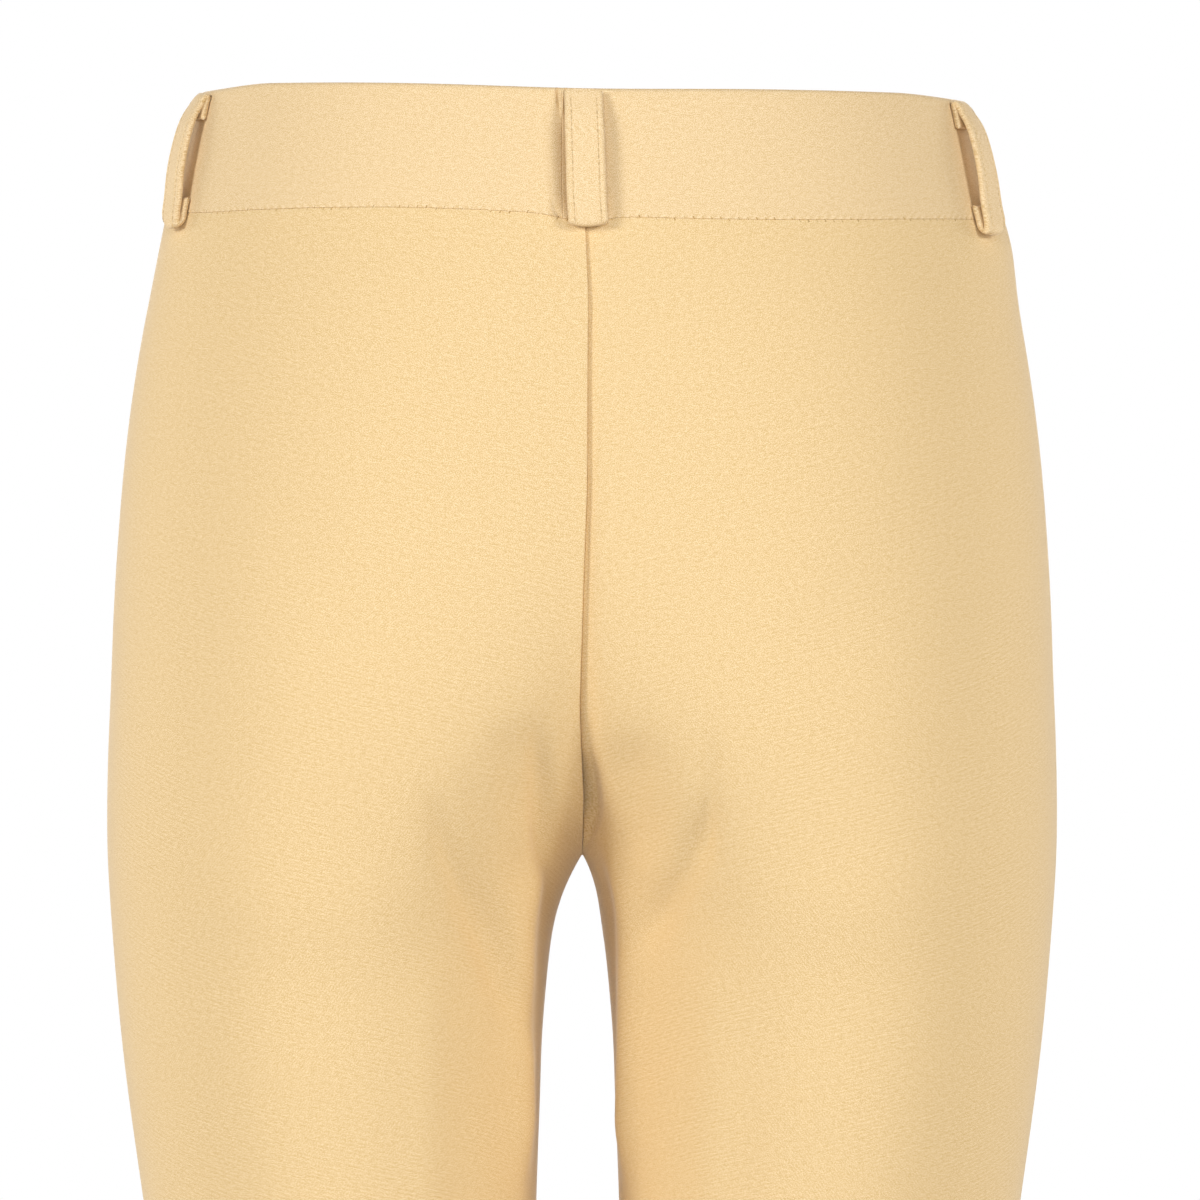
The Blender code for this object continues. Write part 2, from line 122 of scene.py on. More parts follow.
def spline_through(places, values, at):
    """A natural cubic spline: its second derivatives solve a tridiagonal system, zero at both ends."""
    steps = np.diff(places)
    system = np.eye(len(places))
    for i in range(1, len(places) - 1):
        system[i, i - 1 : i + 2] = steps[i - 1], 2 * (steps[i - 1] + steps[i]), steps[i]
    right_side = np.zeros(len(places))
    right_side[1:-1] = 6 * np.diff(np.diff(values) / steps)
    bend = np.linalg.solve(system, right_side)
    i = np.clip(np.searchsorted(places, at) - 1, 0, len(places) - 2)
    before, after, step = at - places[i], places[i + 1] - at, steps[i]
    cubic = (bend[i] * after**3 + bend[i + 1] * before**3) / (6 * step)
    line = (values[i] / step - bend[i] * step / 6) * after
    return cubic + line + (values[i + 1] / step - bend[i + 1] * step / 6) * before


def sections_at(z):
    """The table's columns at heights z of any shape: straight over the waistband and splined below it."""
    down, places = (WAIST_TOP - z) / MM, column("down")
    found = {}
    for name in Section._fields[2:]:
        values = column(name)
        below = spline_through(places[1:], values[1:], down)
        scale = 1 if name.startswith("round") else MM
        found[name] = np.where(down <= places[1], np.interp(down, places[:2], values[:2]), below) * scale
    found["centre"] = (found["outer"] + found["inner"]) / 2
    found["half"] = (found["outer"] - found["inner"]) / 2
    return found

# %% Points of the surface
def around(angle, s):
    """x = centre - half cos^(2/p), y = mid + depth sin^(2/p): inside leg at 0, back at 90, outside at 180
    and front at 270 degrees."""
    cosine, sine = np.cos(angle), np.sin(angle)
    power = 2 / np.where(sine >= 0, s["round_back"], s["round_front"])
    depth = np.where(sine >= 0, s["back"] - s["mid"], s["mid"] - s["front"])
    x = s["centre"] - s["half"] * np.sign(cosine) * np.abs(cosine) ** power
    return x, s["mid"] + depth * np.sign(sine) * np.abs(sine) ** power


def half_ring(z, samples=481):
    """For each height, the angles from the centre back to the centre front and the arc length up to each."""
    s = sections_at(z[:, None])
    share = np.clip(s["centre"] / s["half"], 0, 1)
    start = np.arccos(share ** (s["round_back"] / 2))
    end = 2 * np.pi - np.arccos(share ** (s["round_front"] / 2))
    angles = start + (end - start) * np.linspace(0, 1, samples)
    x, y = around(angles, s)
    arcs = np.cumsum(np.hypot(np.diff(x, prepend=x[:, :1]), np.diff(y, prepend=y[:, :1])), axis=1)
    return angles, arcs


def rows_interp(at, places, values):
    """np.interp on every row at once: each row is set 10 m further along, which makes one rising list."""
    shift = 10.0 * np.arange(len(at))[:, None]
    at = np.clip(at, places[:, :1], places[:, -1:])
    return np.interp((at + shift).ravel(), (places + shift).ravel(), values.ravel()).reshape(at.shape)


def surface(side, arc, z):
    """Points by height and by arc from the centre back or the inseam, with a row of arcs for each height. An
    arc that passes the centre back or the centre front carries on around the other half."""
    angles, arcs = half_ring(z)
    whole = arcs[:, -1:]
    folded = np.abs(arc)
    folded = np.where(folded > whole, 2 * whole - folded, folded)
    s = sections_at(z[:, None])
    x, y = around(rows_interp(folded, arcs, angles), s)
    x = np.where((arc < 0) | (arc > whole), -x, x) * SIGN[side]
    return together(x, y, z[:, None])


def level(points):
    """|x'/half|^p + |y'/depth|^p, which is 1 on the surface and grows outwards."""
    s = sections_at(points[..., 2])
    behind = points[..., 1] >= s["mid"]
    depth = np.where(behind, s["back"] - s["mid"], s["mid"] - s["front"])
    p = np.where(behind, s["round_back"], s["round_front"])
    across = np.abs((np.abs(points[..., 0]) - s["centre"]) / s["half"])
    return across**p + np.abs((points[..., 1] - s["mid"]) / depth) ** p


def normals(points):
    """Outward directions: the slope of level along each axis."""
    steps = np.eye(3) * 0.05 * MM
    return unit(np.stack([level(points + d) - level(points - d) for d in steps], axis=-1))


def girth(z):
    z = np.atleast_1d(z)
    return half_ring(z.ravel())[1][:, -1].reshape(z.shape)


def seam_arc(side, z):
    """The arc from the centre back, or the inseam, to the side seam."""
    angles, arcs = half_ring(z)
    seam = np.full((len(z), 1), np.pi - np.radians(SIDE_SEAM_TURN[side]))
    return rows_interp(seam, angles, arcs)[:, 0]


print("waist girth, mm:", round(2 * girth(WAIST_TOP)[0] / MM, 1))
print("back seat panel, widest, mm:", round(seam_arc("left", np.array([-0.12]))[0] / MM, 1))

# %% [markdown]
# ## Nothing that is worn hangs perfectly straight
#
# A table of sections is even on both sides, and an even garment looks like a diagram. The waist of this one
# leans a little to the wearer's right and sits a hair higher on the left. Each piece could get its own shift,
# but then neighbours would part. One smooth shift of space is applied to every point instead, last of all.

# %% Settling
LEAN = 0.6 * MM          # how far the waist stands towards the wearer's right
TILT = 0.0155            # rise of the waist for each metre towards the wearer's left
SLIP = 2.0 * MM          # how far the whole waist has slipped down
DIP = 1.0 * MM           # how much further it hangs at the centre back
SWING = 1.3 * MM         # how far the waist seam swings up on the left and down on the right of the back
DROOP = {"left": 1.6 * MM, "right": 1.1 * MM}      # how much lower the waist's edge hangs over the hips
HIP = 2.0 * MM           # how far the right hip stands out under the waistband
PULL = 1.9 * MM          # how far the back loop pulls the waist seam down
SETTLED_BY = 95 * MM     # below the waist's upper edge, where all of these have gone
# The seat seam wanders as the cloth is pulled: millimetres down, and towards the wearer's left.
SEAT_SEAM = np.array([
    (0, 0), (30, -0.4), (64, -2.0), (120, -1.7), (148, -0.6), (184, 0.6), (212, -0.5), (228, 0),
])


def ease(value):
    """0 below 0, 1 above 1, and 3v^2 - 2v^3 between them."""
    value = np.clip(value, 0, 1)
    return value * value * (3 - 2 * value)


def bell(value):
    """exp(-v^2): 1 at 0, and next to nothing past 2."""
    return np.exp(-(value**2))


def settle(points):
    """Shifts that fade with height: the waist leans, tilts and slips evenly, and dips by bell(x / 40) at the
    back. Its seam swings by sin(pi x / 110) and is pulled down by bell(x / 9) bell(d / 10) under the loop.
    Its edge droops past the hips by exp(-d / 20), the right hip stands out by bell(d / 15), and the seat
    seam wanders by bell(x / 16)."""
    x, y, z = points[..., 0], points[..., 1], points[..., 2]
    down = WAIST_TOP - z
    share = 1 - ease(down / SETTLED_BY)
    behind = ease(y / (40 * MM))
    near_seam = bell((z - WAIST_SEAM) / (26 * MM)) * (np.abs(x) < 110 * MM)
    wander = np.interp(down / MM, *SEAT_SEAM.T) * MM
    moved = points.copy()
    moved[..., 0] += wander * behind * bell(x / (16 * MM)) - LEAN * share
    moved[..., 0] -= HIP * ease((-x - 100 * MM) / (30 * MM)) * bell((down - 44 * MM) / (15 * MM))
    moved[..., 2] += share * (TILT * x - SLIP - DIP * behind * bell(x / (40 * MM)))
    for side, sign in SIGN.items():
        past_hip = ease((sign * x - 92 * MM) / (22 * MM))
        moved[..., 2] -= DROOP[side] * share * past_hip * np.exp(-down / (20 * MM))
    moved[..., 2] -= PULL * behind * bell((x - 1 * MM) / (9 * MM)) * bell((z - WAIST_SEAM) / (10 * MM))
    moved[..., 2] += SWING * behind * near_seam * np.sin(np.pi * x / (110 * MM))
    return moved

# %% [markdown]
# ## One kind of mesh for everything
#
# A leg panel, a folded band, a belt loop and a thread are all a ring of points carried along a path and
# closed at both ends. Solidify could thicken a sheet, but then the seam edges could not be rounded
# separately from the inner wall. Here a ring simply runs out along the right side of the cloth and back
# along the wrong side.

# %% Rings to meshes
def tube_faces(rows, ring, many=1):
    """Quads around each pair of neighbouring rings, and straight across the first and the last ring."""
    n = np.arange(rows * ring).reshape(rows, ring)
    turned = np.roll(n, -1, axis=1)
    walls = np.stack([n[:-1], turned[:-1], turned[1:], n[1:]], axis=-1).reshape(-1, 4)
    j = np.arange(ring // 2 - 1)
    first, last = (
        np.stack([row[j], row[ring - 1 - j], row[ring - 2 - j], row[j + 1]], axis=-1) for row in (n[0], n[-1])
    )
    faces = np.concatenate([walls, first, last[:, ::-1]])
    return (faces + rows * ring * np.arange(many)[:, None, None]).reshape(-1, 4)


def volume_and_area(points, faces):
    """A sixth of a . (b x c) and half of |(b - a) x (c - a)|, over each quad's two triangles."""
    a, b, c, d = (points[faces[:, k]] for k in range(4))
    volume = sum(np.sum(a * np.cross(p, q)) for p, q in ((b, c), (c, d))) / 6
    area = sum(np.sum(np.linalg.norm(np.cross(p - a, q - a), axis=1)) for p, q in ((b, c), (c, d))) / 2
    return volume, area


def add_object(name, data):
    made = bpy.data.objects.new(name, data)
    bpy.context.scene.collection.objects.link(made)
    return made


def add_piece(name, rings, material, stands_for=None, uv=None, sharp=50):
    """Rings of points, (rows, ring, 3) or (many, rows, ring, 3), as one closed mesh that rides on the root.
    A negative volume means that the faces look inwards, and they are turned."""
    stacked = rings.reshape(-1, *rings.shape[-3:])
    points = settle(stacked.reshape(-1, 3))
    faces = tube_faces(*stacked.shape[1:3], many=len(stacked))
    volume, area = volume_and_area(points, faces)
    if volume < 0:
        faces = faces[:, ::-1]
    mesh = bpy.data.meshes.new(name)
    mesh.from_pydata(points.tolist(), [], faces.tolist())
    if uv is not None:
        layer = mesh.uv_layers.new(name="cloth_mm")
        layer.data.foreach_set("uv", uv.reshape(-1, 2)[faces.ravel()].astype(np.float32).ravel())
    mesh.shade_smooth()
    mesh.set_sharp_from_angle(angle=np.radians(sharp))
    mesh.materials.append(material)
    piece = add_object(name, mesh)
    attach(piece, "root")
    if stands_for:
        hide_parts(stands_for)
    piece["half_area"] = area / 2
    print(f"{name}: {2 * len(faces)} triangles, {area / 2 * 1e4:.1f} cm2 a side, {abs(volume) * 1e6:.2f} cm3")
    return piece

# %% [markdown]
# ## Twill
#
# The cloth is a stretch twill: a smooth, slightly hairy surface whose yarns make fine slanting ribs. The ribs
# fade in and out with the light, so a plain striped pattern looks drawn on. Real yarns could be modelled, but
# a child's trousers hold a hundred thousand of them. Two weave patterns in the bump and a mottled yarn colour
# give the same feel. All patterns read the cloth's own UV map, in millimetres from the side seam along the
# arc and down the leg.

# %% Material tools
def colour(hex_code):
    """An sRGB hex value as linear RGBA: ((v + 0.055) / 1.055)^2.4, or v / 12.92 where v is dark."""
    v = np.array([int(hex_code[i : i + 2], 16) for i in (1, 3, 5)]) / 255
    return (*np.where(v <= 0.04045, v / 12.92, ((v + 0.055) / 1.055) ** 2.4), 1.0)


def feed(target, **inputs):
    """Gives each input of a node a value, or a link from a socket or from another node's first output. An
    input goes by its name, where _ stands for a space, or by _ and its number."""
    for key, value in inputs.items():
        socket = target.inputs[int(key[1:]) if key[1:].isdigit() else key.replace("_", " ")]
        if isinstance(value, bpy.types.Node):
            value = value.outputs[0]
        if isinstance(value, bpy.types.NodeSocket):
            target.id_data.links.new(value, socket)
        else:
            socket.default_value = value
    return target


def node(tree, kind, settings=None, stops=(), **inputs):
    """A shader node of a kind with its settings, a ramp's stops as (place, colour), and its inputs."""
    made = tree.nodes.new("ShaderNode" + kind)
    for key, value in (settings or {}).items():
        setattr(made, key, value)
    for k, (place, shade) in enumerate(stops):
        stop = made.color_ramp.elements[k] if k < 2 else made.color_ramp.elements.new(place)
        stop.position, stop.color = place, shade
    return feed(made, **inputs)


def new_material(name, **inputs):
    material = bpy.data.materials.new(name)
    material.use_nodes = True
    tree = material.node_tree
    return material, tree, feed(tree.nodes["Principled BSDF"], **inputs)

# %% Twill materials
YARN_PITCH = 1.25        # mm between ribs where they are widest and show most
FINE_PITCH = 0.8         # mm between the ribs of the flat twill beside the seat seam


def ribs(tree, place, pitch, turn, wander):
    """A wave of sines across a pitch, on coordinates turned by degrees and bent by slow noise."""
    turned = node(tree, "Mapping", Vector=place, Rotation=(0, 0, np.radians(turn)))
    wave = node(
        tree, "TexWave", {"wave_type": "BANDS", "bands_direction": "Y"}, Vector=turned,
        Scale=2 * np.pi / (20 * pitch), Distortion=wander, Detail=2, Detail_Scale=0.9, Detail_Roughness=0.6,
    )
    return wave.outputs["Fac"]


def pucker(tree, place):
    """exp(-(d / 1.1)^2) times a slanted sine, where d is the distance from the waist seam in millimetres. It
    raises the bump, and it is also painted into the colour as the puckers' shade.
    """
    slanted = node(tree, "VectorMath", {"operation": "DOT_PRODUCT"}, _0=place, _1=(2.327, 1.5, 0))
    wave = node(tree, "Math", {"operation": "SINE"}, _0=slanted.outputs["Value"])
    across = node(tree, "SeparateXYZ", Vector=place).outputs["Y"]
    away = node(tree, "Math", {"operation": "ADD"}, _0=across, _1=WAIST_SEAM / MM)
    square = node(tree, "Math", {"operation": "MULTIPLY"}, _0=away, _1=away)
    near = node(tree, "Math", {"operation": "POWER"}, _0=np.exp(-1 / 1.1**2), _1=square)
    return node(tree, "Math", {"operation": "MULTIPLY"}, _0=near, _1=wave)


def twill(name, deep, mid, pale, turn=14, rib_share=0.14):
    """Woven cotton, nylon and elastane. Fibre ends scatter the light: rough, a little sheen at the edges,
    and a mottle of darker and paler yarns."""
    material, tree, shader = new_material(
        name, Roughness=0.92, Sheen_Weight=0.6, Sheen_Roughness=0.28, Sheen_Tint=colour("#EDE4DA"),
        Specular_IOR_Level=0.16,
    )
    place = node(tree, "UVMap", {"uv_map": "cloth_mm"})
    turned = (0, 0, np.radians(turn))
    along = node(tree, "Mapping", Vector=place, Rotation=turned, Scale=(0.8, 1.25, 1))
    fibre = node(tree, "TexNoise", Vector=place, Scale=3.7, Detail=1, Roughness=0.7)
    slub = node(tree, "TexNoise", Vector=along, Scale=0.7, Detail=3, Roughness=0.7)
    patch = node(tree, "TexNoise", Vector=place, Scale=0.03, Detail=2, Roughness=0.5)
    coarse = node(tree, "MapRange", {"clamp": True}, Value=patch, From_Min=0.42, From_Max=0.55)
    # Ribs show more where the cloth is drawn over the thighs than on the seat.
    down = node(tree, "SeparateXYZ", Vector=place).outputs["Y"]
    drawn = node(tree, "MapRange", {"clamp": True}, Value=down, From_Min=60, From_Max=200, To_Min=0.25)
    wide = ribs(tree, place, YARN_PITCH, turn, 1.1)
    fine = ribs(tree, place, FINE_PITCH, turn - 60, 0.8)
    weave = node(tree, "Mix", {"data_type": "FLOAT"}, Factor=coarse, _2=fine, _3=wide)
    centred = node(tree, "Math", {"operation": "SUBTRACT"}, _0=weave, _1=0.5)
    shown = node(tree, "Math", {"operation": "MULTIPLY"}, _0=centred, _1=drawn)
    # The mottle: yarn noise around one half, and ribs that leave its mean alone.
    add = {"operation": "MULTIPLY_ADD"}
    yarn = node(tree, "Math", add, _0=fibre, _1=1.12, _2=-0.085)
    mottle = node(tree, "Math", add, _0=slub, _1=0.3, _2=yarn)
    ribbed = node(tree, "Math", add, _0=shown, _1=rib_share * 0.35, _2=mottle)
    # The puckers by the waist seam go into the colour as well as the bump: painted shade of slanted ripples.
    height = node(tree, "Math", add, _0=pucker(tree, place), _1=0.07, _2=ribbed)
    shades = ((0.46, colour(deep)), (0.78, colour(pale)), (0.62, colour(mid)))
    tone = node(tree, "ValToRGB", stops=shades, Fac=height)
    raised = node(tree, "Bump", Height=height, Strength=0.1, Distance=0.4 * MM)
    feed(shader, Base_Color=tone, Normal=raised)
    return material


leg_twill = twill("fawn_stretch_twill", "#CFAD72", "#E0C493", "#F0DAB2")
band_twill = twill("fawn_waistband_twill", "#D0B079", "#E1C69A", "#F0DBB6", turn=8, rib_share=0.06)
loop_twill = twill("fawn_loop_twill", "#D2B27C", "#E3C89C", "#F2DDB9", turn=70, rib_share=0.06)
print("twill materials:", leg_twill.name, band_twill.name, loop_twill.name)

# %% Thread, and the painted shade of needle holes
def thread_material(name, code, roughness=0.6):
    """Spun polyester thread, twisted: a soft gloss, and a slant of darker plies every half millimetre."""
    material, tree, shader = new_material(name, Roughness=roughness, Specular_IOR_Level=0.3)
    place = node(tree, "TexCoord").outputs["Object"]
    plies = node(tree, "TexNoise", Vector=place, Scale=1800, Detail=2, Roughness=0.6)
    base = np.array(colour(code))[:3]
    shades = ((0.3, (*base * 0.72, 1)), (0.7, (*base * 1.1, 1)))
    feed(shader, Base_Color=node(tree, "ValToRGB", stops=shades, Fac=plies))
    return material


fawn_thread = thread_material("fawn_polyester_thread", "#D9BC8B")
# Darker than the fawn thread: the sunk seam thread's brown is painted shade of its ditch and needle holes.
seam_thread_and_shade = thread_material("sunk_seam_stitch_painted_shade", "#BC955A", 0.9)
# hole_shade is not thread: its dark tubes are painted shade, the shadow inside needle holes and the button's
# holes.
hole_shade = thread_material("needle_hole_shade", "#9C9070", 1.0)

# %% [markdown]
# ## Creases
#
# Stretch twill lies close, so it has few folds and they are shallow: a slack run under each seat cheek, a
# pulled line or two beside the crotch, and small ones behind the knees and above the hems. Cloth simulation
# could make folds, but it would not put them where they belong. Each one is drawn as a soft trough, or a
# ridge where its depth is negative, along a slightly bowed line.

# %% The crease table
# across is x from the middle, outwards, on the back and the front, and y on the outer and inner sides. down
# is below the waistband's upper edge. width is half the crease's own width. Lengths are in millimetres.
Crease = namedtuple("Crease", "side face across down to_across to_down width depth bow")
CREASES = [Crease(side, face, *row) for (side, face), rows in {
    ("left", "back"): (
        (0, 213, -1, 258, 7.5, 4.2, 0),
        (45.5, 203, 12.5, 292, 4.4, 3.0, -1.0),
        (33, 196, 27, 240, 3, 0.5, 0),
        (25, 222, 18, 284, 4, -1.0, 0),
        (21, 185, 15.5, 224, 7, 1.5, 0),
        (12, 182, 10, 254, 3.2, 3.1, 0),
        (96, 120, 60, 178, 16, 0.7, 4),
        (44, 250, 46, 560, 6, -1.0, 0),
        (30, 548, 84, 560, 6, 1.3, 5),
        (44, 792, 90, 786, 5, 0.9, -3),
    ),
    ("left", "inner"): (
        (60, 218, 24, 332, 9, -3.6, 0),
        (30, 310, 20, 640, 9, -0.5, 0),
        (2, 232, 2, 700, 40, 0.5, 0),
        (-22, 545, 30, 553, 5, 1.0, 3),
    ),
    ("right", "back"): (
        (0, 194, -1, 240, 5, 2.9, 0),
        (0, 207, -1, 262, 8, 3.2, 0),
        (12.5, 188, 17, 236, 8, 2.3, 0),
        (37.5, 186, 34.5, 238, 2.8, 1.5, 0),
        (38, 206, 13, 262, 4.2, 2.8, -3.5),
        (58, 262, 44, 350, 9, 0.8, 3),
        (100, 130, 66, 190, 17, 0.7, 5),
        (37, 246, 38, 560, 6, -1.0, 0),
        (34, 462, 80, 470, 6, 1.0, -3),
        (38, 566, 78, 556, 5, 1.1, 3),
        (42, 846, 78, 838, 4, 0.9, 2),
    ),
    ("right", "inner"): (
        (54, 218, 14, 332, 8, -3.2, 0),
        (2, 228, 2, 700, 45, -2.2, 0),
    ),
    ("both", "back"): (
        (36, 492, 92, 506, 7, 1.5, -4),
        (44, 520, 100, 517, 5, 1.0, 3),
        (38, 820, 84, 833, 5, 1.1, 4),
    ),
    ("both", "front"): (
        (6, 204, 58, 176, 6, 1.3, 5),
        (12, 236, 46, 262, 7, 1.2, -4),
        (36, 812, 82, 806, 6, 1.1, -4),
    ),
    ("left", "front"): (
        (4, 219, 72, 210, 6, 1.5, 6),
        (50, 474, 92, 466, 8, 0.9, 4),
        (40, 842, 86, 850, 5, 0.9, 3),
    ),
    ("right", "front"): (
        (4, 222, 66, 202, 6, 1.4, 6),
        (38, 560, 84, 572, 8, 0.9, 4),
        (34, 774, 74, 782, 6, 0.8, 3),
    ),
    ("both", "inner"): (
        (-38, 262, 10, 296, 14, 0.5, 5),
        (-26, 520, 34, 504, 7, 1.2, -4),
        (-18, 828, 26, 816, 5, 1.0, 3),
    ),
    ("both", "outer"): (
        (-30, 498, 36, 512, 8, 0.8, 4),
        (-40, 150, 46, 190, 20, 0.5, 6),
    ),
    ("left", "outer"): (
        (-28, 800, 26, 810, 6, 0.9, 3),
    ),
    ("right", "outer"): (
        (-26, 838, 28, 826, 6, 0.9, -3),
    ),
}.items() for row in rows]
FACES = {"back": (1, 1), "front": (1, -1), "outer": (0, 1), "inner": (0, -1)}   # normal's axis and its sign
print(len(CREASES), "creases")

# %% The creased surface
SLOW_WAVES = np.random.default_rng(11).normal(size=(9, 3)) * [26, 26, 20]       # radians for each metre
SLOW_PHASES = np.linspace(0, 17, 9)


def trough(crease, across, down):
    """depth bell(d / width), where d is the distance from a line bowed by 4 t (1 - t). It eases to nothing
    over a third of the line, or 26 mm of a long one, at either end."""
    run = np.array([crease.to_across - crease.across, crease.to_down - crease.down], float)
    length = np.hypot(*run)
    run /= length
    u, v = across - crease.across, down - crease.down
    t = (u * run[0] + v * run[1]) / length
    away = -u * run[1] + v * run[0] - crease.bow * 4 * t * (1 - t)
    soft = min(length / 3, 26)
    ends = ease(t * length / soft) * ease((1 - t) * length / soft)
    return crease.depth * bell(away / crease.width) * ends


def relief(side, points, direction):
    """Height above the body surface, in metres: slow waves less the troughs of every crease whose face the
    cloth is turned to, fading out below the waistband and above the hem's fold."""
    down = (WAIST_TOP - points[..., 2]) / MM
    outwards = points * [SIGN[side], 1, 1] / MM
    facing = direction * [SIGN[side], 1, 1]
    height = 0.16 * np.sum(np.sin(points @ SLOW_WAVES.T + SLOW_PHASES), axis=-1)
    for crease in CREASES:
        if crease.side in (side, "both"):
            axis, sign = FACES[crease.face]
            turned_to = ease((sign * facing[..., axis] - 0.1) / 0.4)
            height -= turned_to * trough(crease, outwards[..., 1 - axis], down)
    fade = ease((down - BAND_HEIGHT / MM) / 26)
    return height * fade * MM


def laid(side, arc, z, out, flat=False):
    """Points at a height above the creased cloth, and the directions there, for arrays of any one shape. A
    flat direction has no rise, and is lengthened to keep walls as thick as they are meant to be."""
    arc, z, out = np.broadcast_arrays(arc, z, out)
    base = surface(side, arc.reshape(-1, 1), z.ravel())[:, 0]
    direction = normals(base)
    height = relief(side, base, direction) + out.ravel()
    if flat:
        direction[:, 2] = 0
        direction /= np.maximum(np.sum(direction**2, axis=1, keepdims=True), 0.16)
    points = base + direction * height[:, None]
    return points.reshape(arc.shape + (3,)), direction.reshape(arc.shape + (3,))

# %% [markdown]
# ## Leg panels
#
# Each leg is a back and a front panel that meet in a plain seam, whose edges roll in and leave a fine ditch.
# The seat seam is lapped: the left panel's edge stands a little proud, and the right one sinks beside it,
# more so further down. Bump could fake this, but the shadow and the break in the outline need real form. So
# each panel has its columns crowded towards its edges, and its edges roll in by a quarter circle.

# %% Panel grids
EDGE_STEPS = np.array([0, 0.15, 0.35, 0.6, 0.9, 1.3, 1.8, 2.6, 3.6, 5.0]) * MM
SEAM_ROLL = 0.7 * MM
TOP_ROLL = 0.12 * MM         # small, because the waist seam is pressed flat
HEM_DEPTH = 22 * MM
HEM_WALL = 3 * MM
HEM_FOLD = HEM + HEM_DEPTH
CROTCH_REACH = 14 * MM       # how far from the crotch its own corrections fade


def filled(stops, widest):
    """The stops in order, with even steps no wider than widest between them."""
    counts = np.maximum(1, np.ceil(np.abs(np.diff(stops)) / widest)).astype(int)
    runs = [np.linspace(a, b, n, endpoint=False) for a, b, n in zip(stops, stops[1:], counts)]
    return np.append(np.concatenate(runs), stops[-1])


PANEL_TOP = WAIST_SEAM - SEWN / 2
NEAR_CROTCH = np.array([0, 0.2, 0.5, 0.9, 1.5, 2.4, 3.6, 5.2, 7.2]) * MM
NEAR_FOLD = np.array([2.2, 1.2, 0.6, 0.3, 0, -0.3, -0.6, -1.2, -2.2]) * MM
WIDEST_ROW = 2.7 * MM
PANEL_ROWS = filled(np.concatenate([
    PANEL_TOP - EDGE_STEPS, (CROTCH + NEAR_CROTCH)[::-1], (CROTCH - NEAR_CROTCH)[1:], HEM_FOLD + NEAR_FOLD,
    (HEM + EDGE_STEPS)[::-1],
]), WIDEST_ROW)


def hidden(z, face):
    """How much of a leg's loop the other leg hides between the inseam and a centre seam, as a column over the
    heights: depth (1 - share^p)^(1/p), which starts steeply where the legs part."""
    s = sections_at(z)
    p = s[f"round_{face}"]
    share = np.clip(s["centre"] / s["half"], 0, 1)
    return (np.abs(s[face] - s["mid"]) * np.maximum(1 - share**p, 0) ** (1 / p))[:, None]


def crowded(start, end, between, from_seam):
    """For each row, arcs from start to end: EDGE_STEPS in from either edge, and columns between that keep
    their distance from the side seam. What is hidden, h, is taken up beside the centre seam: h (t - t^m),
    where t is 0 at the side seam and 1 at the centre."""
    first, last = start[:, None] + EDGE_STEPS, end[:, None] - EDGE_STEPS[::-1]
    t = np.linspace(0, 1, between + 2)[1:-1]
    h = hidden(PANEL_ROWS, "front" if from_seam else "back")
    steep = 1 + 5 / (1 + (h / (40 * MM)) ** 2)
    taken = h * (t - t**steep) if from_seam else -h * ((1 - t) - (1 - t) ** steep)
    spread = first[:, -1:] + (last[:, :1] - first[:, -1:]) * t + taken
    return np.concatenate([first, spread, last], axis=1)


def roll(distance, radius):
    """How far a quarter circle of a radius sinks at a distance from the edge."""
    left = radius - np.clip(distance, 0, radius)
    return radius - np.sqrt(np.maximum(radius**2 - left**2, 0))


print(len(PANEL_ROWS), "rows in each panel")

# %% Building a panel
def panel_rings(side, arc, lift, swell, rolls):
    """Out along the right side and back along the wrong side. rolls are the edge rounding at the first and
    the last column, lift raises the whole cloth, and swell only its right side."""
    z = PANEL_ROWS
    base = surface(side, arc, z)
    direction = normals(base)
    whole = girth(z)[:, None]
    height = relief(side, base, direction) + lift
    # Beside the centre seams the cloth moves only in their plane, so that they stay closed.
    beside = (1 - ease(np.minimum(arc, np.abs(whole - arc)) / (5 * MM))) * (z >= CROTCH)[:, None]
    direction[..., 0] *= 1 - beside
    # The inseam's start tilts the directions suddenly: there the cloth moves level, so that no rows cross.
    direction[..., 2] *= 1 - bell((z - CROTCH) / CROTCH_REACH)[:, None]
    direction = unit(direction)
    height -= roll(arc - arc[:, :1], rolls[0]) + roll(arc[:, -1:] - arc, rolls[1])
    height -= (roll(PANEL_TOP - z, TOP_ROLL) + roll(z - HEM, HEM_WALL / 2))[:, None]
    height -= 0.3 * MM * bell((z - HEM_FOLD) / (0.6 * MM))[:, None]
    direction[[0, -1], :, 2] = 0
    right_side = base + direction * (height + swell)[..., None]
    wall = PLY + (HEM_WALL - PLY) * ease((HEM_FOLD + 0.6 * MM - z) / (1.2 * MM)) - roll(z - HEM, HEM_WALL / 2)
    smooth = base + direction * (height + roll(PANEL_TOP - z, TOP_ROLL)[:, None])[..., None]
    wrong_side = smooth - direction * wall[:, None, None]
    before = (arc < whole) & (z >= CROTCH)[:, None]
    for grid in (right_side, wrong_side):
        inside = grid[..., 0] * SIGN[side]
        grid[..., 0] = np.where(before, np.maximum(inside, SEWN / 2), inside) * SIGN[side]
    return np.concatenate([right_side, wrong_side[:, ::-1]], axis=1)


def cloth_map(side, arc, z):
    """Millimetres along the arc, from the side seam, and down the leg, for both sides of the ring. The right
    half is moved aside, so that the two halves do not mirror each other's yarns."""
    across = (arc - seam_arc(side, z)[:, None]) / MM + (300 if side == "left" else 1300)
    one = together(across, ((WAIST_TOP - z) / MM)[:, None])
    return np.concatenate([one, one[:, ::-1]], axis=1)


def add_panel(name, side, arc, lift, swell, rolls):
    """The panel and the width of its cloth."""
    rings = panel_rings(side, arc, lift, swell, rolls)
    uv = cloth_map(side, arc, PANEL_ROWS)
    piece = add_piece(f"{name}_panel_{side}", rings, leg_twill, f"{name}_{side}", uv)
    return piece, np.ptp(arc, axis=1).max()

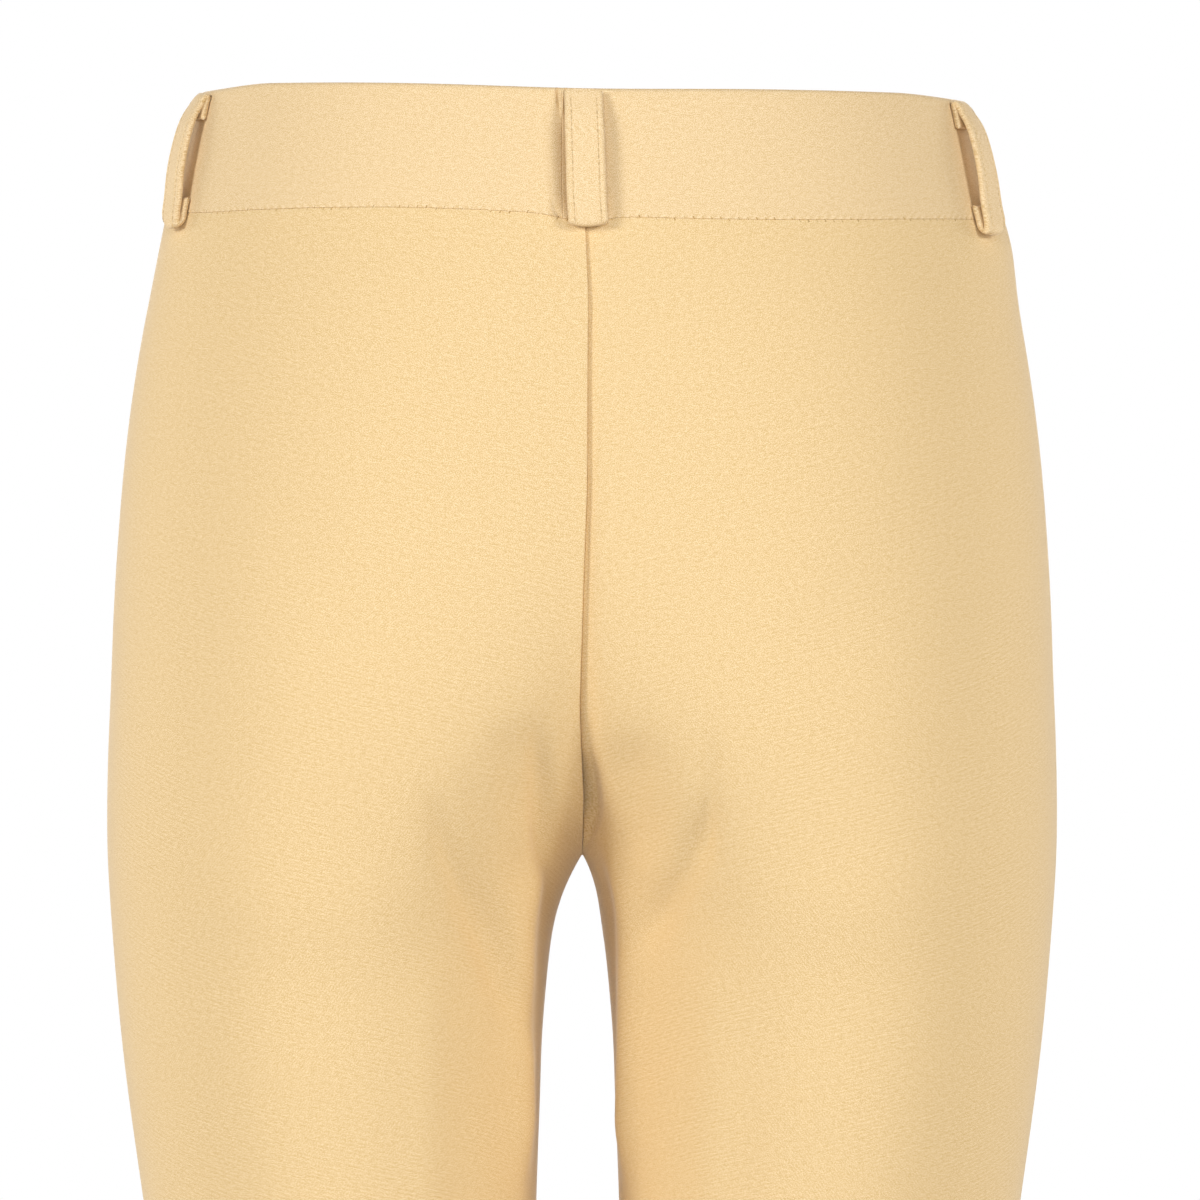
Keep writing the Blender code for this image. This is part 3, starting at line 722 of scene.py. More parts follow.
# %% Back panels
LEFT_PROUD = 0.4 * MM
RIGHT_SUNK = 0.75 * MM       # beside the seam at the waist, and as much again every SINKS_OVER further down
SINKS_OVER = 90 * MM
LAP_ROLL = {"left": 0.35 * MM, "right": 0.1 * MM}
BACK_COLUMNS = 76


def add_back(side):
    z = PANEL_ROWS
    arc = crowded(np.full(len(z), SEWN / 2), seam_arc(side, z) - SEWN / 2, BACK_COLUMNS, False)
    down = np.clip(WAIST_SEAM - z, 0, None)[:, None]
    beside = bell((arc - arc[:, :1]) / (2 * MM + 0.014 * down)) * ease((z - CROTCH) / CROTCH_REACH)[:, None]
    swell = beside * (LEFT_PROUD if side == "left" else -RIGHT_SUNK * (1 + down / SINKS_OVER))
    return add_panel("back", side, arc, 0, swell, (LAP_ROLL[side], SEAM_ROLL))


backs = {side: add_back(side) for side in SIGN}

# %% Front panels
FLY_LENGTH = 108 * MM
FLY_END = WAIST_SEAM - FLY_LENGTH
FLAP_LAP = 7 * MM
FLAP_RISE = 1.8 * MM
FLY_TAPER = 13 * MM
LAP_RAMP = 9 * MM
BAND_UNDERLAP = 18 * MM
LAP_BEGINS = BAND_UNDERLAP + 1 * MM + LAP_RAMP        # before the centre front
FRONT_COLUMNS = 72


def flap_rise(before, z):
    """How far the flap stands out, at a distance before the centre front."""
    return FLAP_RISE * ease((LAP_BEGINS - before) / LAP_RAMP) * ease((z - FLY_END + FLY_TAPER) / FLY_TAPER)


def add_front(side):
    z, whole = PANEL_ROWS, girth(PANEL_ROWS)
    laps = side == "right"
    edge = whole - SEWN / 2 + laps * FLAP_LAP * ease((z - FLY_END) / FLY_TAPER)
    arc = crowded(seam_arc(side, z) + SEWN / 2, edge, FRONT_COLUMNS, True)
    lift = laps * flap_rise(whole[:, None] - arc, z[:, None])
    return add_panel("front", side, arc, lift, 0, (SEAM_ROLL, SEAM_ROLL))


fronts = {side: add_front(side) for side in SIGN}

# %% [markdown]
# ## Waistband
#
# The band is one strip folded over a stiffener, so its upper edge is a soft roll and its faces are slightly
# full. Its lower edge turns under into the waist seam. A beam with a bevel would look like plastic, so the
# folded section is drawn as a ring of points and carried round the waist in two halves, which meet in a seam
# a little to the left of the back loop. In front the right end lies over the left one.

# %% The band's section
BAND_WALL = 2.6 * MM
BAND_FULL = 0.35 * MM        # how far the faces swell between the edges
BAND_SEAM_ASIDE = 6.4 * MM   # from the middle of the back towards the wearer's left
BAND_LAP = 9 * MM
BAND_STEP = {"right": FLAP_RISE, "left": -(BAND_WALL - FLAP_RISE + GAP)}

# Crumples in the band about its back seam: across is towards the wearer's left, and down is from its edge.
CRUMPLES = [Crease("left", "back", *row) for row in (
    (8.4, -5, 6.9, 8, 0.5, 1.0, 0),
    (5.2, -6, 5.0, 10, 0.45, 0.9, 0.1),
    (5.7, 0, 6.4, 10, 0.35, -0.5, 0),
    (5.4, 3, 4.2, 44, 2.3, 1.7, 0),
    (10, 32, 5.0, 42, 0.8, 0.45, -0.6),
    (13, 35, 7.0, 42, 0.7, -0.35, -0.5),
)]


def band_section(faces=34, turn=9):
    """(out, down) around the folded strip: half a circle over the top, a face that swells as a sine and rolls
    in at its lower edge, and the wrong side straight back up."""
    r = BAND_WALL / 2
    over = np.linspace(np.pi, 0, turn)
    top = np.stack([np.cos(over) * r - r, r - np.sin(over) * r], axis=1)
    last = BAND_HEIGHT - np.array([0.6, 0.3, 0.12, 0]) * MM
    down = np.append(np.linspace(r, BAND_HEIGHT - 1 * MM, faces), last)[1:]
    swell = BAND_FULL * np.sin(np.pi * down / BAND_HEIGHT) - roll(BAND_HEIGHT - down, 0.16 * MM)
    outside = np.stack([swell, down], axis=1)
    back = np.linspace(BAND_HEIGHT, r, len(down))[: -1]
    inside = np.stack([np.full(len(back), -BAND_WALL), back], axis=1)
    return np.concatenate([top, outside, inside])[: 2 * ((len(top) + len(outside) + len(inside)) // 2)]


print("points around the band:", len(band_section()))

# %% Carrying it round the waist
def add_band(side):
    section = band_section()
    whole = girth(WAIST_SEAM)[0]
    aside = BAND_SEAM_ASIDE * SIGN[side]
    lap, other = (BAND_LAP, BAND_UNDERLAP) if side == "right" else (BAND_UNDERLAP, BAND_LAP)
    near_seam = np.append(EDGE_STEPS[:4], np.arange(0.9, 6, 0.3) * MM)
    stops = np.concatenate([aside + SEWN / 2 + near_seam, (whole + lap - EDGE_STEPS)[::-1]])
    arc = filled(stops, 1.6 * MM)[:, None]
    z = WAIST_TOP - section[None, :, 1]
    # Arcs keep their distance from the centre back, and then slip evenly to keep it from the centre front.
    shorter = girth(z[0])[None, :] - whole
    place = arc + shorter * ease((arc / whole - 0.2) / 0.6)
    step = BAND_STEP[side] * ease((arc - (whole - other - 1 * MM - LAP_RAMP)) / LAP_RAMP)
    ends = roll(arc - arc[:1], 0.1 * MM) + roll(arc[-1:] - arc, 1.2 * MM)
    out = section[None, :, 0] + step
    middle = step - BAND_WALL / 2
    out = middle + (out - middle) * (1 - np.clip(ends / BAND_WALL * 2, 0, 0.9))
    right_side = (section[None, :, 0] > -BAND_WALL / 2) & (arc < 30 * MM)
    for crumple in CRUMPLES:
        out = out - right_side * trough(crumple, arc * SIGN[side] / MM, section[None, :, 1] / MM) * MM
    points, _ = laid(side, place, z, out, flat=True)
    uv = together(arc / MM + (2000 if side == "left" else 3000), -z / MM)
    stands_for = f"waistband_{side}"
    piece = add_piece(f"waistband_cloth_{side}", points, band_twill, stands_for, uv)
    return piece


bands = {side: add_band(side) for side in SIGN}

# %% [markdown]
# ## Belt loops
#
# A belt loop is a narrow strap, stitched along both edges, whose ends are turned under and sewn down. Between
# them it bows away from the band, so light comes in from the side. A flat plate would close that gap. Here a
# rounded section is carried along a line that starts at the end of the upper tab, turns, bows out, turns
# again and runs up the lower tab.

# %% The strap's line and section
LOOP_WIDTH = 11.2 * MM
LOOP_PLY = 2.0 * MM
LOOP_LONG = 42 * MM
LOOP_WIDENS = 0.045             # the share by which a loop is wider at its foot
LOOP_STITCHES_IN = 1.9 * MM     # from each edge

# The middle line from tab to tab: millimetres below the loop's upper end, and out from the band.
STRAP = np.array([
    (8.6, 1.2), (5.4, 1.15), (2.6, 1.15), (1.1, 1.35), (0.7, 1.85), (1.5, 2.45), (3.6, 3.2), (6.2, 4.15),
    (9.2, 4.9), (13.2, 5.35), (18, 5.5), (25, 5.3), (30, 5.1), (34.2, 5.0), (37.4, 4.9), (39.8, 4.3),
    (40.9, 3.3), (40.5, 2.1), (38.6, 1.4), (35.8, 1.15), (32.6, 1.2),
])

# One row for each loop. share: of the half ring from the centre back. top: below the waistband's upper edge.
# long, out: how far the strap's line is stretched down and out. slip: how much further from the centre back
# its lower end is. near and far: how much its corners are rounded off on either side. close: the share by
# which its lower end bows less. groove: how deep its stitches lie. Lengths are in millimetres.
Loop = namedtuple("Loop", "name side share top long out slip near far close groove")
LOOPS = (
    Loop("back", "left", 0.0, 0.2, 0.95, 0.72, -1.0, 0.3, 0.3, 0.0, 0.05),
    Loop("side_left", "left", 0.426, 0.9, 1.004, 0.90, -6.0, 0.6, 1.6, 0.3, 0.28),
    Loop("side_right", "right", 0.413, 0.7, 1.012, 1.0, -5.8, 0.2, 1.6, 0.32, 0.28),
    Loop("front_left", "left", 0.83, 0.4, 1.0, 0.9, 0.4, 0.3, 0.5, 0.0, 0.12),
    Loop("front_right", "right", 0.83, 0.4, 1.0, 0.9, -0.3, 0.3, 0.5, 0.0, 0.12),
)


def strap_line(loop, count=120):
    """(down, out) through the strap's points by a spline over their own distances."""
    lowest_out = GAP + LOOP_PLY / 2
    points = STRAP * [loop.long, loop.out] * MM
    bowed = np.maximum(points[:, 1] - lowest_out, 0)
    points[:, 1] = lowest_out + bowed * (1 - loop.close * ease((points[:, 0] - 22 * MM) / (16 * MM)))
    run = run_along(points)
    at = np.linspace(0, run[-1], count)
    return np.stack([spline_through(run, points[:, k], at) for k in (0, 1)], axis=1), at


def strap_section(groove):
    """(across, thick) around the strap: the right side sinks by groove bell(d / 0.4) under both rows of
    stitches, and the edges are half circles."""
    r, half = LOOP_PLY / 2, LOOP_WIDTH / 2
    face = np.linspace(-1, 1, 29) * (half - r)
    sunk = groove * MM * bell((np.abs(face) - half + LOOP_STITCHES_IN) / (0.4 * MM))
    turn = np.linspace(0, np.pi, 9)[1:-1]
    edge = np.stack([half - r + r * np.sin(turn), r * np.cos(turn)], axis=1)
    under = np.stack([face[::-2], np.full(len(face[::-2]), -r)], axis=1)
    return np.concatenate([np.stack([face, r - sunk], axis=1), edge, under, -edge])


print("points around a loop:", len(strap_section(0)))

# %% Building the loops
def on_loop(loop, down, out, across):
    """Points at (down, out) from the loop's upper end and a distance across it, and the directions there."""
    z = WAIST_TOP - loop.top * MM - down
    across = across * (1 + LOOP_WIDENS * down / LOOP_LONG)
    arc = loop.share * girth(z) + loop.slip * MM * down / LOOP_LONG + across
    return laid(loop.side, arc, z, out, flat=True)


def add_loop(loop):
    """The section carried along the strap's line. Its corners drop at the top by bell(down / 5) and rise at
    the foot by 1.5 bell(d / 6), more towards either edge by the square of the share across."""
    line, at = strap_line(loop)
    across, thick = strap_section(loop.groove).T[:, None]
    along = unit(np.gradient(line, axis=0))
    away = np.stack([along[:, 1], -along[:, 0]], axis=1)    # the right side, out from the band on the strap
    away = away * np.sign(away[len(away) // 2, 1])
    thick = thick * (1 - 0.9 * roll(np.minimum(at, at[-1] - at), 0.8 * MM)[:, None] / (0.8 * MM))
    down = line[:, :1] + away[:, :1] * thick
    out = line[:, 1:] + away[:, 1:] * thick
    aside = across / (LOOP_WIDTH / 2)
    corner = (loop.near * np.clip(-aside, 0, 1) ** 2 + loop.far * np.clip(aside, 0, 1) ** 2) * MM
    down = down + corner * (bell(down / (5 * MM)) - 1.5 * bell((down - line[:, 0].max()) / (6 * MM)))
    points, _ = on_loop(loop, down, out, across)
    offset = 4000 + 300 * LOOPS.index(loop)
    uv = together(across / MM + offset, at[:, None] / MM)
    piece = add_piece(f"belt_loop_{loop.name}", points, loop_twill, f"loop_{loop.name}", uv)


for loop in LOOPS:
    add_loop(loop)

# %% [markdown]
# ## Stitches
#
# A lockstitch shows as a row of short threads that dip into needle holes. The holes read darker than the
# thread, and on pale cloth they are most of what the eye sees. A dashed texture would stay flat at the seams,
# so each stitch is a short bent tube, and each hole is painted shade: a small dark tube beneath its ends.

# %% Threads as bent tubes
def add_threads(name, points, direction, radius, material, slot="leg_twill", ring=6, closed_ends=0.35):
    """Rings of a radius, or of one for each thread, around the threads' points, (threads, points, 3). Across
    is the tangent x the cloth's direction, and the end rings shrink to closed_ends of the radius."""
    tangent = np.gradient(points, axis=1)
    across = unit(np.cross(tangent, direction))
    up = unit(np.cross(across, tangent))
    turn = np.linspace(0, 2 * np.pi, ring, endpoint=False)
    size = np.ones(points.shape[:2]) * radius
    size[:, [0, -1]] *= closed_ends
    rings = points[:, :, None] + size[:, :, None, None] * (
        np.cos(turn)[:, None] * up[:, :, None] + np.sin(turn)[:, None] * across[:, :, None]
    )
    add_piece(name, rings, material, sharp=80)


def stitched(place, length, pitch, sink=0.0, cover=0.78, hole_length=0.42 * MM):
    """Threads and holes along a line. place(s, out) gives points and directions at distances along it. Each
    thread covers a share of the pitch and arches by a cosine. A hole of its own length lies between two."""
    middles = (np.arange(int(length / pitch)) + 0.5)[:, None] * pitch
    bend = np.linspace(-0.5, 0.5, 5)
    thread = place(middles + bend * cover * pitch, sink + 0.14 * MM * np.cos(np.pi * bend))
    hole = place(middles + pitch / 2 + np.linspace(-0.5, 0.5, 3) * hole_length, sink)
    return thread, hole


def joined(parts):
    return tuple(np.concatenate([part[k] for part in parts]) for k in (0, 1))


def sew(name, lines, thread_radius, hole_radius, slot="leg_twill"):
    """The threads of all lines as one piece, and the painted shade of their needle holes, dark tubes, as
    another.
    """
    threads, holes = (joined(parts) for parts in zip(*lines))
    add_threads(f"{name}_threads", *threads, thread_radius, fawn_thread, slot)
    add_threads(f"{name}_needle_holes", *holes, hole_radius, hole_shade, slot)

# %% Stitches in the waist seam, the seat seam and the hems
SEAM_PITCH = 2.7 * MM
HEM_PITCH = 3.0 * MM
SEAT_STITCHES = 170 * MM     # how far they run down the seat seam


def along_waist(side):
    def place(s, out):
        slant = (s % SEAM_PITCH - SEAM_PITCH / 2) * 0.45
        return laid(side, s + 1.3 * MM - SEAM_PITCH / 2, WAIST_SEAM + slant, out)
    return place


def along_seat(s, out):
    return laid("left", 0.15 * MM, WAIST_SEAM - 6 * MM - s, out)


def along_hem(side):
    return lambda s, out: laid(side, s, HEM_FOLD, out)


waist_length = girth(WAIST_SEAM)[0] - 3 * MM
seam_holes = joined([
    stitched(along_waist(side), waist_length, SEAM_PITCH, sink=-0.15 * MM, hole_length=0.95 * MM)[1]
    for side in SIGN
] + [stitched(along_seat, SEAT_STITCHES, SEAM_PITCH, sink=-0.4 * MM)[1]])
# Pulled tight, some of these stitches show more than others. They lie at the needle holes, and their brown,
# darker than the thread elsewhere, is painted shade of the holes and the ditch that they sink into.
seam_sizes = np.random.default_rng(7).uniform(0.17, 0.3, (len(seam_holes[0]), 1)) * MM
add_threads("seam_stitches_painted_shade", *seam_holes, seam_sizes, seam_thread_and_shade)
hem_lines = [stitched(along_hem(side), girth(HEM_FOLD)[0], HEM_PITCH, sink=-0.2 * MM) for side in SIGN]
sew("hem", hem_lines, 0.2 * MM, 0.2 * MM)

# %% Stitches on the belt loops
LOOP_PITCH = 1.9 * MM
LOOP_STITCHES = 38 * MM      # how far they run down a loop


def along_strap(loop, edge):
    line, at = strap_line(loop)
    start = at[np.argmin(line[:20, 0])] + 1.5 * MM
    inset = (LOOP_WIDTH / 2 - LOOP_STITCHES_IN) * edge

    def place(s, out):
        down, height = (np.interp(s + start, at, line[:, k]) for k in (0, 1))
        return on_loop(loop, down, height + LOOP_PLY / 2 + out, inset)
    return place


def loop_stitches(loop, edge):
    sink = -(0.07 + loop.groove) * MM
    return stitched(along_strap(loop, edge), LOOP_STITCHES, LOOP_PITCH, sink, hole_length=0.3 * MM)


loop_lines = [loop_stitches(loop, edge) for loop in LOOPS for edge in (-1, 1)]
sew("loop", loop_lines, 0.15 * MM, 0.14 * MM, "loop_twill")

# %% [markdown]
# ## Fly, button and buttonhole
#
# The right front laps over the left and hides a zip. Two rows of stitches follow the flap down and curve in
# to its lower end, in the shape of a J. Only the flap's edge, those rows and the button are seen from
# outside, but the garment can be looked into, so the zip has its tape, its two rows of teeth and its slider.

# %% Fly stitching
FLY_ROWS = (30 * MM, 33.5 * MM)      # before the centre front


def fly_line(inset, count=160):
    """(before the centre front, z): straight down, then a quarter ellipse to the end of the fly, and the
    distance along it up to each point."""
    bottom, tall = FLY_END - 6 * MM - (inset - FLY_ROWS[0]), 34 * MM
    angle = np.linspace(0, np.pi / 2, count)
    before = 1.5 * MM + (inset - 1.5 * MM) * np.cos(angle)
    curve = np.stack([before, bottom + tall - tall * np.sin(angle)], axis=1)
    points = np.concatenate([[[inset, WAIST_SEAM - 1.5 * MM]], curve])
    return points, run_along(points)


def fly_stitches(inset):
    points, at = fly_line(inset)

    def place(s, out):
        before, z = (np.interp(s, at, points[:, k]) for k in (0, 1))
        whole = girth(z)
        return laid("right", whole - before, z, out + flap_rise(before, z))
    return stitched(place, at[-1] - 2 * MM, HEM_PITCH, sink=-0.05 * MM)


sew("fly", [fly_stitches(inset) for inset in FLY_ROWS], 0.2 * MM, 0.2 * MM)

# %% Buttonhole
BUTTON_ASIDE = 4.5 * MM
BUTTONHOLE = 19 * MM
BAND_MIDDLE = WAIST_TOP - BAND_HEIGHT / 2


def on_band(across, up, out):
    """Points on the lapped right end of the band, across from the button's place and up from its middle."""
    across, up, out = np.broadcast_arrays(across, up, out)
    z = BAND_MIDDLE + up
    whole = girth(z)
    return laid("right", whole - BUTTON_ASIDE + across, z, FLAP_RISE + BAND_FULL + out, flat=True)


bars = np.arange(-BUTTONHOLE + 3 * MM, 3 * MM, 0.42 * MM)[:, None]
reach = np.linspace(0.25, 1.7, 4) * MM
arch = 0.22 * MM * np.sin(np.linspace(0.3, np.pi, 4))
satin = joined([on_band(bars, side * reach, arch) for side in (1, -1)])
add_threads("buttonhole_satin", *satin, 0.21 * MM, fawn_thread, "waistband_twill")

# %% Button
# Cast polyester, turned and tumbled: a smooth gloss over a cloudy horn-like streak.
BUTTON_RADIUS = 7.5 * MM
BUTTON_THICK = 3.2 * MM
BUTTON_PROFILE = np.array([
    (0, 0.05), (0.35, 0.02), (0.62, 0.0), (0.86, 0.08), (0.96, 0.26), (1.0, 0.5), (0.98, 0.76), (0.93, 0.94),
    (0.86, 1.0), (0.79, 0.95), (0.73, 0.82), (0.66, 0.7), (0.5, 0.63), (0.3, 0.6), (0, 0.59),
])


def polyester_button():
    material, tree, shader = new_material(
        "cast_polyester_button", Roughness=0.28, IOR=1.55, Coat_Weight=0.25, Coat_Roughness=0.12,
    )
    place = node(tree, "TexCoord").outputs["Object"]
    stretched = node(tree, "Mapping", Vector=place, Rotation=(0, 0.5, 0), Scale=(1, 1, 2.6))
    streak = node(tree, "TexNoise", Vector=stretched, Scale=260, Detail=5, Distortion=1.2)
    shades = ((0.36, colour("#8A6B42")), (0.64, colour("#C9A878")))
    feed(shader, Base_Color=node(tree, "ValToRGB", stops=shades, Fac=streak))
    return material


seat, axis = on_band(0.0, 0.0, 1.5 * GAP)
side_way = unit(np.cross(axis, [0, 0, 1.0]))
up_way = np.cross(side_way, axis)

# The profile is turned about the button's axis. The rings run round the profile, so its first and last
# points are rings of almost no radius, closed across.
turn = np.linspace(0, 2 * np.pi, 56, endpoint=False)
radius = np.maximum(BUTTON_PROFILE[:, :1], 0.004) * BUTTON_RADIUS
points = seat + (radius * np.cos(turn))[..., None] * side_way + (radius * np.sin(turn))[..., None] * up_way
points = points + (BUTTON_PROFILE[:, 1] * BUTTON_THICK)[:, None, None] * axis
add_piece("sewn_button", points, polyester_button(), "waist_button")

# Dark tubes of painted shade fill the button's four holes, standing for the shadow inside them.
corners = np.array([(-1, -1), (1, -1), (1, 1), (-1, 1)]) * 1.25 * MM
middle = seat + axis * 0.6 * BUTTON_THICK
spots = middle + corners[:, :1] * side_way + corners[:, 1:] * up_way
dip = np.linspace(-0.4, 0.4, 3)[None, :, None] * MM * axis
add_threads(
    "button_holes_painted_shade", spots[:, None] + dip, np.broadcast_to(side_way, (4, 3, 3)), 0.75 * MM, hole_shade,
    "button_plastic", ring=16, closed_ends=1.0,
)
strands = np.array([(0, 2), (1, 3), (0, 3), (1, 2)])
t = np.linspace(0, 1, 9)[None, :, None]
crossing = spots[strands[:, 0]][:, None] * (1 - t) + spots[strands[:, 1]][:, None] * t
crossing = crossing + axis * (0.3 + 0.75 * np.sin(np.pi * t)) * MM
add_threads(
    "button_thread", crossing, np.broadcast_to(axis, crossing.shape), 0.33 * MM, fawn_thread,
    "button_plastic", ring=8,
)

# %% Zip tape
ZIP_WIDTH = 24 * MM
ZIP_WALL = 1 * MM
ZIP_TOP = WAIST_SEAM - 2 * MM
ZIP_FOOT = FLY_END + 8 * MM
TAPE_DEEP = -(PLY + 2 * GAP)      # its outer face, below the body surface


def tape_material():
    """Woven polyester tape: matt, with a fine herringbone across it."""
    material, tree, shader = new_material("woven_zip_tape", Roughness=0.85, Sheen_Weight=0.1)
    weave = ribs(tree, node(tree, "UVMap", {"uv_map": "cloth_mm"}), 0.6, 35, 0.4)
    shades = ((0, colour("#BFA578")), (1, colour("#D3BB90")))
    tone = node(tree, "ValToRGB", stops=shades, Fac=weave)
    raised = node(tree, "Bump", Height=weave, Strength=0.25, Distance=0.2 * MM)
    feed(shader, Base_Color=tone, Normal=raised)
    return material


z = filled(np.array([ZIP_TOP, ZIP_FOOT]), 2 * MM)
across = np.linspace(-0.5, 0.5, 17) * ZIP_WIDTH
edges = roll(ZIP_WIDTH / 2 - np.abs(across), 0.5 * MM)
ring_across = np.append(across, across[::-1])
ring_out = TAPE_DEEP - np.append(edges, (ZIP_WALL - edges)[::-1])
points, _ = laid("left", girth(z)[:, None] + ring_across, z[:, None], ring_out[None, :])
uv = together(ring_across / MM + 6000, -z[:, None] / MM)
zip_tape = add_piece("zip_tape_woven", points, tape_material(), "zip", uv)

# %% Zip teeth and slider
# Moulded nylon teeth on the tape's inner face, and a slider of nickel-plated zinc: cast, plated and brushed,
# so its highlights are soft and a little uneven.
TOOTH_PITCH = 1.6 * MM


def nylon_teeth():
    material, tree, shader = new_material("moulded_nylon_teeth", Roughness=0.4)
    place = node(tree, "TexCoord").outputs["Object"]
    cloud = node(tree, "TexNoise", Vector=place, Scale=500, Detail=2)
    shades = ((0, colour("#C9B080")), (1, colour("#DCC698")))
    feed(shader, Base_Color=node(tree, "ValToRGB", stops=shades, Fac=cloud))
    return material


def nickel_plate():
    material, tree, shader = new_material("nickel_plated_zinc", Metallic=1.0)
    place = node(tree, "TexCoord").outputs["Object"]
    drawn = node(tree, "Mapping", Vector=place, Scale=(1, 1, 0.1))
    brush = node(tree, "TexNoise", Vector=drawn, Scale=2500, Detail=3)
    shades = ((0, colour("#A9A59C")), (1, colour("#CBC7BE")))
    tone = node(tree, "ValToRGB", stops=shades, Fac=brush)
    rough = node(tree, "MapRange", Value=brush, To_Min=0.24, To_Max=0.42)
    feed(shader, Base_Color=tone, Roughness=rough)
    return material


z = np.arange(ZIP_TOP - 17 * MM, ZIP_FOOT + 3 * MM, -TOOTH_PITCH / 2)[:, None]
hand = np.where(np.arange(len(z)) % 2, 1, -1)[:, None]
reach = np.linspace(-0.7, 2.3, 5) * MM
bulge = np.array([-0.1, -0.55, -0.65, -0.55, -0.1]) * MM
teeth = laid("left", girth(z) + hand * reach, z, TAPE_DEEP - ZIP_WALL + bulge)
add_threads("zip_teeth", *teeth, 0.42 * MM, nylon_teeth(), "zip_tape", ring=8, closed_ends=0.6)

SLIDER_DEEP = TAPE_DEEP - ZIP_WALL - GAP      # the slider's face next to the tape
SLIDER_OUTLINE = np.array([
    (0, 0.42), (0.06, 0.66), (0.22, 0.95), (0.42, 1), (0.62, 0.9), (0.82, 0.66), (0.95, 0.5), (1, 0.34),
])
PULL_OUTLINE = np.array([(0, 0.5), (0.05, 0.8), (0.15, 0.8), (0.5, 0.86), (0.8, 1), (0.93, 0.9), (1, 0.5)])
turn = np.linspace(0, 2 * np.pi, 24, endpoint=False)
squarer = np.stack([np.sign(f(turn)) * np.abs(f(turn)) ** 0.5 for f in (np.cos, np.sin)])
nickel = nickel_plate()


def add_cast(name, stands_for, top, long, wide, thick, deep, outline):
    """Superellipse rings, |x/w|^4 + |y/t|^4 = 1, along an outline of (down, width) shares. Their middle lies
    further in than SLIDER_DEEP by deep."""
    z = top - outline[:, :1] * long
    arc = girth(z) + outline[:, 1:] * squarer[0] * wide / 2
    slim = 1 - 0.5 * roll(np.minimum(outline[:, :1], 1 - outline[:, :1]), 0.12) / 0.12
    points, _ = laid("left", arc, z, SLIDER_DEEP - deep - squarer[1] * slim * thick / 2)
    add_piece(name, points, nickel, stands_for)


add_cast(
    "zip_slider_body", "zip_slider", WAIST_SEAM - 6 * MM, 11 * MM, 8 * MM, 2.2 * MM, 1.1 * MM, SLIDER_OUTLINE,
)
add_cast("zip_slider_pull", None, WAIST_SEAM - 9 * MM, 15 * MM, 4.6 * MM, 0.9 * MM, 2.75 * MM, PULL_OUTLINE)

# %% [markdown]
# ## Studio
#
# The garment is shown against plain white with soft light: a broad key facing its back, and on each side a
# narrower key, which gives the belt loops their crisp shadows, and a side light, which keeps the outlines
# readable. A fill lights the front. A pale floor lies at an ankle's height below the hems, and fades out
# towards its rim, where no light reaches it. White paper behind the garment would need its own lamps, so the
# world is white to the camera, and as a light it is dim and warm, like light that the cloth itself has thrown
# back into its shadows.

# %% Floor and world
FLOOR = HEM - 60 * MM
FLOOR_RADIUS = 3.2


def pale_floor():
    """Painted board: matt, with a barely visible mottle, fading into the white backdrop at its rim."""
    material, tree, shader = new_material("matt_painted_board", Roughness=0.85)
    place = node(tree, "TexCoord").outputs["Object"]
    flat = node(tree, "VectorMath", {"operation": "MULTIPLY"}, _0=place, _1=(1, 1, 0))
    away = node(tree, "VectorMath", {"operation": "LENGTH"}, _0=flat)
    faded = node(
        tree, "MapRange", {"interpolation_type": "SMOOTHSTEP"}, Value=away.outputs["Value"],
        From_Min=FLOOR_RADIUS * 0.5, From_Max=FLOOR_RADIUS * 0.98, To_Min=1.0, To_Max=0.0,
    )
    mottle = node(tree, "TexNoise", Vector=place, Scale=6, Detail=4)
    shades = ((0, colour("#DEDBD6")), (1, colour("#E6E3DF")))
    feed(shader, Alpha=faded, Base_Color=node(tree, "ValToRGB", stops=shades, Fac=mottle))
    return material


around_floor = np.linspace(0, 2 * np.pi, 96, endpoint=False)
radii = np.array([0.0006, 0.3, 0.7, 0.95, 0.998, 1, 1, 0.98, 0.0006]) * FLOOR_RADIUS
depths = np.array([0, 0, 0, 0, 0, 4, 20, 24, 24]) * MM
radii, depths = radii[:, None], depths[:, None]
disc = together(radii * np.cos(around_floor), radii * np.sin(around_floor), FLOOR - depths)
floor_mesh = bpy.data.meshes.new("floor")
floor_mesh.from_pydata(disc.reshape(-1, 3).tolist(), [], tube_faces(*disc.shape[:2])[:, ::-1].tolist())
floor_mesh.materials.append(pale_floor())
floor = add_object("floor", floor_mesh)

